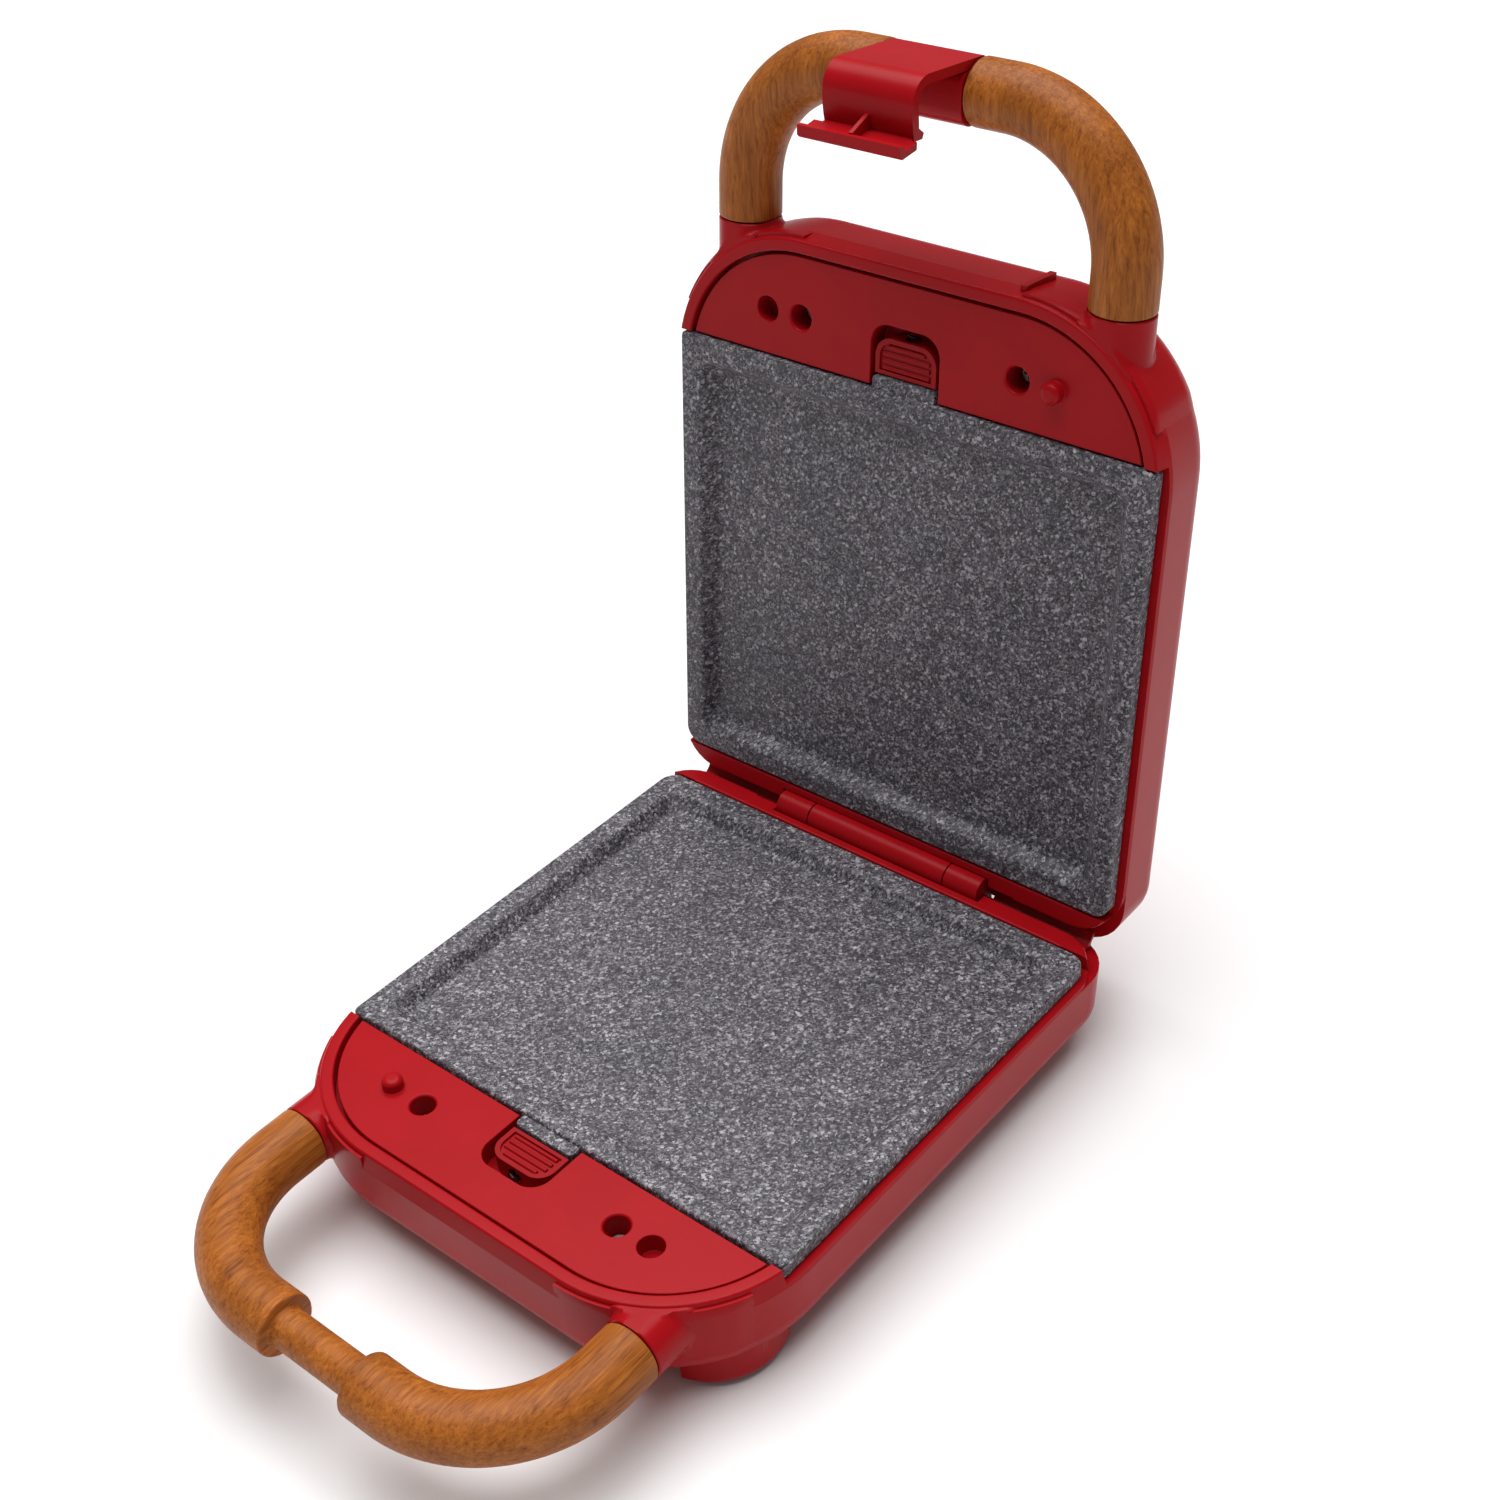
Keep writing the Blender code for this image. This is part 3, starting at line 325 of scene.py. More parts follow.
RED = moulded_plastic("casing_red", (0.375, 0.0045, 0.0085), (0.345, 0.0040, 0.0075), 0.30)
BUTTON_RED = moulded_plastic("button_red", (0.320, 0.0045, 0.0080), (0.285, 0.0040, 0.0070), 0.36)
STONE = stone_coating()
WOOD = wood("grip_wood", (1.0, 0.06, 1.0))
UPPER_WOOD = wood("grip_wood_upper", (1.0, 1.0, 0.06))
STEEL = metal("steel", (0.62, 0.62, 0.63), (0.50, 0.50, 0.52), 0.30, (1.0, 6.0, 6.0))
SCREW_STEEL = metal("screw_steel", (0.46, 0.42, 0.42), (0.34, 0.31, 0.31), 0.38)
# Spring steel made near-black: this dark colour is painted shade, standing in for the shade of the narrow,
# deep button well
SPRING_STEEL_PAINTED_SHADE = metal("spring_steel_painted_shade", (0.040, 0.032, 0.032), (0.025, 0.020, 0.020), 0.50)
ELEMENT = metal("element_steel", (0.23, 0.21, 0.19), (0.13, 0.12, 0.12), 0.48, grain=0.8)
ALUMINIUM = metal("pan_aluminium", (0.78, 0.78, 0.79), (0.70, 0.70, 0.71), 0.30, (0.3, 6.0, 1.0))
CERAMIC = dull("ceramic_white", (0.84, 0.82, 0.77), (0.76, 0.74, 0.69), 0.50, 1.8, 0.00003)
RUBBER = dull("black_rubber", (0.032, 0.032, 0.033), (0.020, 0.020, 0.021), 0.75, 3.0, 0.00006)
LENS = lens()


# ---------------------------------------------------------------- mesh helpers
def to_object(name, bm, material=RED):
    """Turn a bmesh into a scene object with outward normals."""
    bmesh.ops.recalc_face_normals(bm, faces=bm.faces)
    mesh = bpy.data.meshes.new(name)
    bm.to_mesh(mesh)
    bm.free()
    mesh.materials.append(material)
    made = bpy.data.objects.new(name, mesh)
    bpy.context.scene.collection.objects.link(made)
    return made


def loft(bm, loops):
    """Skin through closed loops of equal length and cap both ends."""
    rings = [[bm.verts.new(point) for point in loop] for loop in loops]
    count = len(rings[0])
    for lower, upper in zip(rings, rings[1:]):
        for i in range(count):
            j = (i + 1) % count
            bm.faces.new((lower[i], lower[j], upper[j], upper[i]))
    bm.faces.new(rings[0])
    bm.faces.new(rings[-1])


def add_prism(bm, outline, low, high, axis="Z"):
    """Extrude a 2-D outline between two stations along an axis."""
    place = {
        "Z": lambda u, v, w: (u, v, w),
        "X": lambda u, v, w: (w, u, v),
        "Y": lambda u, v, w: (u, w, v),
    }[axis]
    loft(bm, [[place(u, v, w) for u, v in outline] for w in (low, high)])


def add_box(bm, low, high):
    outline = [(low[0], low[1]), (high[0], low[1]), (high[0], high[1]), (low[0], high[1])]
    add_prism(bm, outline, low[2], high[2])


def arc(u, v, radius, start, end, steps):
    """Points of an arc from one angle to another, in degrees."""
    angles = [math.radians(start + (end - start) * i / steps) for i in range(steps + 1)]
    return [(u + radius * math.cos(a), v + radius * math.sin(a)) for a in angles]


def add_turned(bm, center, profile, count=32, axis="Z"):
    """Stack circles along an axis: profile is a list of (radius, station)."""
    swap = {
        "Z": lambda a, b, s: (center[0] + a, center[1] + b, s),
        "Y": lambda a, b, s: (center[0] + a, s, center[1] + b),
        "X": lambda a, b, s: (s, center[0] + a, center[1] + b),
    }[axis]
    circle = [(math.cos(math.tau * i / count), math.sin(math.tau * i / count)) for i in range(count)]
    loft(bm, [[swap(radius * u, radius * v, station) for u, v in circle] for radius, station in profile])


def rounded_path(corners, radius, steps):
    """A path through corners whose interior corners are filleted."""
    corners = [Vector(c) for c in corners]
    path = [corners[0]]
    for before, corner, after in zip(corners, corners[1:], corners[2:]):
        to_before = (before - corner).normalized()
        to_after = (after - corner).normalized()
        half = to_before.angle(to_after) / 2
        reach = radius / math.tan(half)
        center = corner + (to_before + to_after).normalized() * (radius / math.sin(half))
        start = corner + to_before * reach - center
        axis = start.cross(corner + to_after * reach - center)
        turn = (math.pi - 2 * half) / steps
        path += [center + Matrix.Rotation(turn * i, 3, axis) @ start for i in range(steps + 1)]
    path.append(corners[-1])
    return path


def add_tube(bm, path, radii, count=40):
    """Sweep a circle along a path, with one radius for each point."""
    path = [Vector(p) for p in path]
    previous = (path[1] - path[0]).normalized()
    side = previous.orthogonal().normalized()
    rings = []
    for i, point in enumerate(path):
        ahead = path[min(i + 1, len(path) - 1)] - point
        behind = point - path[max(i - 1, 0)]
        tangent = (ahead.normalized() + behind.normalized()).normalized()
        side = (previous.rotation_difference(tangent) @ side).normalized()
        previous = tangent
        up = tangent.cross(side)
        turns = [math.tau * k / count for k in range(count)]
        rings.append([tuple(point + radii[i] * (math.cos(t) * side + math.sin(t) * up)) for t in turns])
    loft(bm, rings)


def combine(target, tool, operation):
    """Apply an exact Boolean of target with tool and drop the tool."""
    modifier = target.modifiers.new(operation.lower(), "BOOLEAN")
    modifier.operation = operation
    modifier.solver = "EXACT"
    modifier.object = tool
    graph = bpy.context.evaluated_depsgraph_get()
    mesh = bpy.data.meshes.new_from_object(target.evaluated_get(graph))
    target.modifiers.clear()
    target.data = mesh
    bpy.data.objects.remove(tool)


def each_shape(target, operation, builders):
    """Combine the target with one tool for each builder function."""
    for index, build in enumerate(builders):
        bm = bmesh.new()
        build(bm)
        combine(target, to_object(f"tool_{index}", bm), operation)


def soften(piece, width, segments=2, angle=35.0):
    """Round the sharp edges and keep the broad faces flat."""
    bevel = piece.modifiers.new("edges", "BEVEL")
    bevel.width = width
    bevel.segments = segments
    bevel.limit_method = "ANGLE"
    bevel.angle_limit = math.radians(angle)
    bevel.miter_outer = "MITER_ARC"
    bevel.use_clamp_overlap = True
    finish_normals(piece)


def finish_normals(piece, sharp=50.0):
    """Smooth shading that keeps edges sharper than an angle in degrees."""
    piece.data.shade_smooth()
    piece.data.set_sharp_from_angle(angle=math.radians(sharp))
    weighted = piece.modifiers.new("normals", "WEIGHTED_NORMAL")
    weighted.keep_sharp = True
    weighted.weight = 80


def install(piece, matrix, body, slot, *nodes):
    """Put a half-frame piece in its place, on its body, for its CAD node."""
    piece.data.transform(matrix)
    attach(piece, body)
    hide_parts(*nodes)


# ---------------------------------------------------------------- casing
def casing_outline(inset, rear, steps=FRONT_STEPS):
    """D-shaped plan of the casing, drawn in by inset, with its rear edge at the given y."""
    half = HALF_WIDTH - inset
    low = FRONT_Y + inset
    big = FRONT_RADIUS - inset
    small = max(REAR_RADIUS - inset, 0.002)
    points = arc(half - small, rear - small, small, 0, 90, REAR_STEPS)
    points += arc(small - half, rear - small, small, 90, 180, REAR_STEPS)
    points += arc(big - half, low + big, big, 180, 270, steps)
    points += arc(half - big, low + big, big, 270, 360, steps)
    return points


def casing_loop(inset, z, rear):
    return [(x, y, z) for x, y in casing_outline(inset, rear)]


BOTTOM_TURN = [math.radians(90 * i / 8) for i in range(9)]
EDGE_TURN = [math.radians(90 * i / 4) for i in range(5)]
RIM_OUTER_EDGE = 0.0007
RIM_INNER_EDGE = 0.0005


def casing_solid(name):
    """One skin from the flat underside, over the rounded rim band, to the hollow's floor."""
    loops = []
    for angle in BOTTOM_TURN:
        inset = BOTTOM_INSET + BOTTOM_RADIUS * (1 - math.sin(angle))
        z = -BODY_DEPTH + BOTTOM_RADIUS * (1 - math.cos(angle))
        loops.append(casing_loop(inset, z, REAR_Y - inset))
    loops.append(casing_loop(0.0, HINGE_SHELF_Z, REAR_Y))
    loops.append(casing_loop(0.0, HINGE_SHELF_Z + 0.00005, HINGE_FACE_Y))
    for angle in EDGE_TURN:
        edge = RIM_OUTER_EDGE * (1 - math.cos(angle))
        z = RIM_Z - RIM_OUTER_EDGE * (1 - math.sin(angle))
        loops.append(casing_loop(RIM_INSET + edge, z, HINGE_FACE_Y - edge))
    for angle in EDGE_TURN:
        back = RIM_INNER_EDGE * (1 - math.sin(angle))
        z = RIM_Z - RIM_INNER_EDGE * (1 - math.cos(angle))
        loops.append(casing_loop(BAND_WIDTH - back, z, CAVITY_REAR_Y + back))
    ledge_rear = CAVITY_REAR_Y - 0.0016
    under_shelf = HINGE_SHELF_Z - 0.0026
    side = WALL + 0.0004
    loops += [
        casing_loop(BAND_WIDTH, -BAND_DEPTH, CAVITY_REAR_Y),
        casing_loop(LEDGE_INSET, -BAND_DEPTH - 0.00005, ledge_rear),
        casing_loop(LEDGE_INSET, -BAND_DEPTH - 0.0016, ledge_rear),
        casing_loop(side, under_shelf, ledge_rear + 0.001),
        casing_loop(side, under_shelf - 0.0001, REAR_Y - side),
    ]
    radius = BOTTOM_RADIUS - WALL
    for angle in reversed(BOTTOM_TURN[:-1]):
        inset = BOTTOM_INSET + WALL + radius * (1 - math.sin(angle))
        z = -BODY_DEPTH + WALL + radius * (1 - math.cos(angle))
        loops.append(casing_loop(inset, z, REAR_Y - inset))
    bm = bmesh.new()
    loft(bm, loops)
    return to_object(name, bm)


def side_cut(side):
    """The side wall is lower along the plate."""
    def build(bm):
        x_low, x_high = sorted((side * 0.0545, side * (HALF_WIDTH + 0.002)))
        add_box(bm, (x_low, DECK_REAR_Y, SIDE_WALL_Z), (x_high, CAVITY_REAR_Y, 0.002))
    return build


def hinge_notch(bm):
    """Room for the knuckles behind the plate."""
    half = BASE_KNUCKLES[1][1] + 0.0009
    add_box(bm, (-half, -KNUCKLE_RADIUS - GAP, HINGE_SHELF_Z - 0.0001), (half, 0.006, 0.002))


def knuckle(low, high):
    """A hinge barrel on a web that stands on the shelf."""
    def build(bm):
        foot = HINGE_SHELF_Z - 0.0008
        outline = arc(0, 0, KNUCKLE_RADIUS, 0, 180, 24) + [(-KNUCKLE_RADIUS, foot), (KNUCKLE_RADIUS, foot)]
        add_prism(bm, outline, low, high, "X")
    return build


def pin_bore(bm):
    """The bore is open at -X and blind at the other end of the base's knuckles."""
    add_turned(bm, (0, 0), [(PIN_BORE_RADIUS, -0.04), (PIN_BORE_RADIUS, PIN_BORE_END)], 24, "X")


SHROUD_X = (0.0329, 0.0610)
SHROUD_RADII = (0.0042, 0.0051)


def hinge_shroud(side):
    """A curved guard on the base's shelf that closes the slit beside the knuckles."""
    def build(bm):
        inner, outer = SHROUD_RADII
        foot = HINGE_SHELF_Z - 0.0004
        back = HINGE_FACE_Y - 0.0003
        outline = [(back, foot), (back, -inner)]
        outline += arc(0, 0, inner, -90, -22, 14) + arc(0, 0, outer, -22, -55, 7)
        outline += [(outer * math.cos(math.radians(55)), foot)]
        low, high = sorted(side * x for x in SHROUD_X)
        add_prism(bm, outline, low, high, "X")
    return build


def corner_wall_y(x):
    """Where the outer wall lies, in y, at a given distance from the middle."""
    along = max(abs(x) - CORNER_X, 0.0)
    return CORNER_Y - math.sqrt(max(FRONT_RADIUS ** 2 - along ** 2, 0.0))


STUB_FLARE = 0.0021
STUB_FLAT_Z = -0.0009
SPIGOT_RADIUS = 0.0045
SPIGOT_LENGTH = 0.0080


def handle_stub(side):
    """A round stub that flares into the wall and is planed flat just under the rim, and a spigot."""
    def build(bm):
        count = 48
        turns = [math.tau * i / count for i in range(count)]
        loops = []

        def ring(radius, station):
            points = []
            for t in turns:
                x = HANDLE_X + radius * math.cos(t)
                z = min(HANDLE_Z + radius * math.sin(t), STUB_FLAT_Z)
                points.append((side * x, station(x), z))
            return points

        loops.append(ring(GRIP_RADIUS + STUB_FLARE, lambda x: corner_wall_y(x) + 0.0014))
        for angle in EDGE_TURN:
            radius = GRIP_RADIUS + STUB_FLARE * (1 - math.sin(angle))
            stand = STUB_FLARE * (1 - math.cos(angle))
            loops.append(ring(radius, lambda x, stand=stand: corner_wall_y(x) + 0.0002 - stand))
        loops.append(ring(GRIP_RADIUS, lambda x: GRIP_START_Y + 0.0003))
        loops.append(ring(GRIP_RADIUS - 0.0003, lambda x: GRIP_START_Y))
        loops.append(ring(SPIGOT_RADIUS, lambda x: GRIP_START_Y))
        loops.append(ring(SPIGOT_RADIUS, lambda x: GRIP_START_Y - SPIGOT_LENGTH))
        loft(bm, loops)
    return build


SCREW_POST_TOP = -0.0106
PAN_POST_TOP = -0.0146
PAN_POSTS = [(x, y) for x in (-0.045, 0.045) for y in (-0.105, -0.025)]


def screw_post(side):
    """A post on the casing's floor that takes a deck screw."""
    def build(bm):
        add_turned(bm, (side * SCREW_X, HOLE_Y), [(0.0040, POST_FOOT), (0.0040, SCREW_POST_TOP)], 24)
    return build


def screw_post_bore(side):
    def build(bm):
        profile = [(0.0016, POST_FOOT + 0.0020), (0.0016, SCREW_POST_TOP + 0.0006)]
        add_turned(bm, (side * SCREW_X, HOLE_Y), profile, 16)
    return build


def pan_post(x, y):
    """A short post under a corner of the reflector pan."""
    def build(bm):
        add_turned(bm, (x, y), [(0.0030, POST_FOOT), (0.0030, PAN_POST_TOP)], 20)
    return build


PAD_LIFT = 0.0008
PAD_SPAN = (-90.6, -24.0)
PAD_FADE_IN = 0.45
PAD_FADE_OUT = 0.10


def corner_pad(side):
    """A thickened skin round the front corner and its lower edge, with a crease at its end."""
    def build(bm):
        turn_radius = FRONT_RADIUS - BOTTOM_INSET - BOTTOM_RADIUS
        start, end = PAD_SPAN
        count = 30

        def loop(reach, height):
            outer = []
            for i in range(count + 1):
                share = i / count
                angle = math.radians(start + (end - start) * share)
                fade = min(1.0, share / PAD_FADE_IN + 0.02, (1 - share) / PAD_FADE_OUT + 0.02)
                radius = reach(fade)
                outer.append((radius * math.cos(angle), radius * math.sin(angle), height(fade)))
            inner = [(x * 0.962, y * 0.962, z) for x, y, z in reversed(outer)]
            return [(side * (CORNER_X + x), CORNER_Y + y, z) for x, y, z in outer + inner]

        loops = []
        for degrees in (66, 50, 38, 26, 13, 0):
            across = math.cos(math.radians(degrees))
            down = math.sin(math.radians(degrees))
            lift = PAD_LIFT * (1 - degrees / 60)
            loops.append(loop(
                lambda fade: turn_radius + (BOTTOM_RADIUS + lift * fade) * across,
                lambda fade: BOTTOM_RADIUS - BODY_DEPTH - (BOTTOM_RADIUS + lift * fade) * down))
        loops.append(loop(lambda fade: FRONT_RADIUS + PAD_LIFT * fade, lambda fade: RIM_Z - 0.0030))
        loops.append(loop(lambda fade: FRONT_RADIUS, lambda fade: RIM_Z - 0.0013))
        loft(bm, loops)
    return build


def wall_rib(bm):
    """A low upright rib on the front wall where the corner begins."""
    x = 0.0013 - CORNER_X
    low = (x - 0.0008, FRONT_Y - 0.0010, -0.0150)
    high = (x + 0.0008, FRONT_Y + 0.0012, RIM_Z - 0.0030)
    add_box(bm, low, high)


FOOT_CENTER = (0.0170, -0.0093)
FOOT_RADIUS = 0.0170
FOOT_EDGE = 0.0018


def foot_skirt(side):
    """The thin upper part of a front foot, which fills the hollow under the casing's rounded edge."""
    def build(bm):
        outline = arc(*FOOT_CENTER, FOOT_RADIUS + 0.0002, -70, 17, 30)
        outline += arc(*FOOT_CENTER, FOOT_RADIUS - 0.0024, 17, -70, 30)
        plan = [(side * (CORNER_X + x), CORNER_Y + y) for x, y in outline]
        add_prism(bm, plan, -0.0170, FOOT_BOTTOM + 0.0042)
    return build


def front_foot(side):
    """A crescent foot under the front corner, a little rounder than the corner."""
    def build(bm):
        outer = arc(*FOOT_CENTER, FOOT_RADIUS, -75, 22, 30)
        inner = arc(0, 0, FRONT_RADIUS - 0.0185, -5, -50, 18)
        stations = [(1.0, POST_FOOT + 0.0010), (1.0, FOOT_BOTTOM + FOOT_EDGE)]
        stations += [(1.0 - 0.022 * (1 - math.cos(a)), FOOT_BOTTOM + FOOT_EDGE * (1 - math.sin(a)))
                     for a in EDGE_TURN[1:]]
        loft(bm, [[(side * (CORNER_X + x * scale), CORNER_Y + y * scale, z) for x, y in outer + inner]
                  for scale, z in stations])
    return build


REAR_FOOT = (0.0530, -0.0110)
REAR_FOOT_RADIUS = 0.0080
REAR_FOOT_EDGE = 0.0015


def rear_foot(side):
    """A round foot with a rounded lower edge."""
    def build(bm):
        profile = [(REAR_FOOT_RADIUS, POST_FOOT)]
        profile += [(REAR_FOOT_RADIUS - REAR_FOOT_EDGE * (1 - math.cos(a)),
                     FOOT_BOTTOM + REAR_FOOT_EDGE * (1 - math.sin(a))) for a in EDGE_TURN]
        add_turned(bm, (side * REAR_FOOT[0], REAR_FOOT[1]), profile, 40)
    return build


GLAND_XZ = (-0.0420, -0.0150)
GLAND_RADIUS = 0.0040
LENS_X = 0.0085
LENS_Y = -0.1300
LENS_RADIUS = 0.0035


def gland_hole(bm):
    """Through the rear wall, for the cord gland."""
    add_turned(bm, GLAND_XZ, [(GLAND_RADIUS, 0.0), (GLAND_RADIUS, 0.0080)], 32, "Y")


def lens_hole(side):
    def build(bm):
        profile = [(LENS_RADIUS, -BODY_DEPTH - 0.0020), (LENS_RADIUS, -BODY_DEPTH + 0.0040)]
        add_turned(bm, (side * LENS_X, LENS_Y), profile, 32)
    return build


def casing(name, knuckles, extras, holes):
    """Cut and join one casing, then round the edges that the cuts left."""
    shell = casing_solid(name)
    outside = [corner_pad(-1), corner_pad(1), handle_stub(-1), handle_stub(1)] + extras
    each_shape(shell, "UNION", outside)
    each_shape(shell, "DIFFERENCE", [side_cut(-1), side_cut(1), hinge_notch])
    each_shape(shell, "UNION", [knuckle(low, high) for low, high in knuckles])
    each_shape(shell, "DIFFERENCE", [pin_bore] + holes)
    each_shape(shell, "UNION", [screw_post(-1), screw_post(1)] + [pan_post(x, y) for x, y in PAN_POSTS])
    each_shape(shell, "DIFFERENCE", [screw_post_bore(-1), screw_post_bore(1)])
    soften(shell, 0.00035)
    return shell


# ---------------------------------------------------------------- deck and button
def notch_outline(half, front, rear, radius):
    """An arch with two rounded front corners."""
    points = arc(radius - half, front + radius, radius, 180, 270, 10)
    points += arc(half - radius, front + radius, radius, 270, 360, 10)
    return points + [(half, rear), (-half, rear)]


def deck_outline():
    """The part of the casing's plan, inside the rim band, that lies in front of the plate."""
    plan = casing_outline(DECK_INSET, CAVITY_REAR_Y, 32)
    front = [(x, y) for x, y in plan if y < DECK_REAR_Y - 0.0003]
    big = FRONT_RADIUS - DECK_INSET
    edge_x = CORNER_X + math.sqrt(big ** 2 - (DECK_REAR_Y - CORNER_Y) ** 2)
    return [(-edge_x, DECK_REAR_Y)] + front + [(edge_x, DECK_REAR_Y)]


def deck(name):
    """The front panel: button well, two countersunk screw bosses, a peg and a blind hole."""
    bm = bmesh.new()
    add_prism(bm, deck_outline(), DECK_BOTTOM, DECK_TOP)
    made = to_object(name, bm)
    under = DECK_BOTTOM + 0.0006

    def well(bm):
        outline = notch_outline(NOTCH_HALF + 0.0016, NOTCH_FRONT_Y - 0.0016, DECK_REAR_Y, 0.0062)
        add_prism(bm, outline, WELL_FLOOR - 0.0014, under)

    def boss(side):
        def build(bm):
            add_turned(bm, (side * SCREW_X, HOLE_Y), [(0.0046, -0.0102), (0.0046, under)])
        return build

    def cup(bm):
        add_turned(bm, (PEG_X, HOLE_Y), [(0.0042, -0.0072), (0.0042, under)])

    def peg(bm):
        profile = [(0.0025, under), (0.0025, 0.0006), (0.0024, 0.0010), (0.0021, 0.0014),
                   (0.0016, 0.0017), (0.0010, 0.0018)]
        add_turned(bm, (-PEG_X, HOLE_Y), profile)

    def notch(bm):
        outline = notch_outline(NOTCH_HALF, NOTCH_FRONT_Y, DECK_REAR_Y + 0.002, 0.0050)
        add_prism(bm, outline, WELL_FLOOR, 0.001)

    def screw_hole(side):
        def build(bm):
            profile = [(0.0017, -0.0110), (0.0017, -0.0082), (0.0029, -0.0082),
                       (0.0030, DECK_TOP - 0.0004), (0.0035, DECK_TOP + 0.0001), (0.0035, 0.001)]
            add_turned(bm, (side * SCREW_X, HOLE_Y), profile)
        return build

    def blind_hole(bm):
        add_turned(bm, (PEG_X, HOLE_Y), [(0.0031, -0.0060), (0.0031, 0.001)])

    each_shape(made, "UNION", [well, boss(-1), boss(1), cup, peg])
    each_shape(made, "DIFFERENCE", [notch, screw_hole(-1), screw_hole(1), blind_hole])
    soften(made, 0.00025)
    return made


BUTTON_HALF = 0.0084
BUTTON_TOP = -0.0017
TRAY_DEPTH = 0.0006
RIB_RADIUS = 0.00055
RIB_PITCH = 0.0017
RIB_COUNT = 4


def release_button(name):
    """A thumb slide with rounded ribs in a shallow tray, and a tunnel for its spring."""
    bottom = WELL_FLOOR + GAP
    tray_floor = BUTTON_TOP - TRAY_DEPTH
    bm = bmesh.new()
    add_prism(bm, notch_outline(BUTTON_HALF, BUTTON_FRONT_Y, BUTTON_REAR_Y, 0.0044), bottom, BUTTON_TOP)
    made = to_object(name, bm, BUTTON_RED)

    def tray(bm):
        outline = notch_outline(BUTTON_HALF - 0.0012, BUTTON_FRONT_Y + 0.0011, BUTTON_REAR_Y - 0.0009, 0.0034)
        add_prism(bm, outline, tray_floor, BUTTON_TOP + 0.001)

    def rib(index):
        def build(bm):
            y = BUTTON_REAR_Y - 0.0016 - RIB_PITCH * index
            half = 0.0064 if index < RIB_COUNT - 1 else 0.0050
            foot = tray_floor - 0.0006
            outline = arc(y, tray_floor, RIB_RADIUS, 0, 180, 8)
            outline += [(y - RIB_RADIUS, foot), (y + RIB_RADIUS, foot)]
            add_prism(bm, outline, -half, half, "X")
        return build

    def tunnel(bm):
        profile = [(0.0020, BUTTON_FRONT_Y - 0.006), (0.0020, BUTTON_FRONT_Y + 0.0061)]
        add_turned(bm, (0, -0.0046), profile, 16, "Y")

    each_shape(made, "DIFFERENCE", [tray])
    each_shape(made, "UNION", [rib(index) for index in range(RIB_COUNT)])
    each_shape(made, "DIFFERENCE", [tunnel])
    soften(made, 0.00018)
    return made


# ---------------------------------------------------------------- plate
def plate_loop(inset, z):
    """Plan of the plate drawn in by inset: two rounded rear corners and two tighter front ones."""
    half = PLATE_HALF - inset
    rear = PLATE_REAR_Y - inset
    front = PLATE_FRONT_Y + inset
    rear_radius = PLATE_REAR_RADIUS
    front_radius = 0.0013 if inset < 0.004 else 0.0030
    points = arc(half - rear_radius, rear - rear_radius, rear_radius, 0, 90, 10)
    points += arc(rear_radius - half, rear - rear_radius, rear_radius, 90, 180, 10)
    points += arc(front_radius - half, front + front_radius, front_radius, 180, 270, 6)
    points += arc(half - front_radius, front + front_radius, front_radius, 270, 360, 6)
    return [(x, y, z) for x, y in points]


def plate(name):
    """A pressed pan: rounded rim, a sloped step with soft shoulders, a flat floor and a skirt."""
    edge = 0.0007
    loops = [plate_loop(PLATE_RIM + PLATE_SLOPE + 0.0012, PLATE_FLOOR),
             plate_loop(PLATE_RIM + PLATE_SLOPE, PLATE_FLOOR + 0.00012),
             plate_loop(PLATE_RIM + PLATE_SLOPE - 0.0007, PLATE_FLOOR + 0.0005),
             plate_loop(PLATE_RIM + 0.0007, PLATE_TOP - 0.0008),
             plate_loop(PLATE_RIM + 0.0001, PLATE_TOP - 0.00022),
             plate_loop(PLATE_RIM - 0.0007, PLATE_TOP)]
    loops += [plate_loop(edge * (1 - math.sin(a)), PLATE_TOP - edge * (1 - math.cos(a))) for a in EDGE_TURN]
    under_rim = PLATE_TOP - PLATE_THICK
    loops += [plate_loop(0.0, PLATE_SIDE_Z + 0.0002), plate_loop(0.0002, PLATE_SIDE_Z),
              plate_loop(PLATE_THICK, PLATE_SIDE_Z), plate_loop(PLATE_THICK, under_rim),
              plate_loop(PLATE_RIM + 0.0003, under_rim),
              plate_loop(PLATE_RIM + PLATE_SLOPE + 0.0005, PLATE_FLOOR - PLATE_THICK)]
    bm = bmesh.new()
    loft(bm, loops)
    made = to_object(name, bm, STONE)

    def tongue(bm):
        outline = notch_outline(0.0086, PLATE_FRONT_Y - 0.0031, PLATE_FRONT_Y + 0.0010, 0.0012)
        add_prism(bm, outline, PLATE_SIDE_Z + 0.0004, PLATE_TOP - 0.0008)

    each_shape(made, "UNION", [tongue])
    soften(made, 0.0003)
    return made


# ---------------------------------------------------------------- handles
def handle_path(side, end_x):
    """Centre line of a quarter of the loop, from its stub to the middle."""
    corners = [(side * HANDLE_X, GRIP_START_Y - GAP, HANDLE_Z), (side * HANDLE_X, HANDLE_Y, HANDLE_Z),
               (side * end_x, HANDLE_Y, HANDLE_Z)]
    return rounded_path(corners, HANDLE_BEND, 30)


GRIP_EDGE = 0.0006


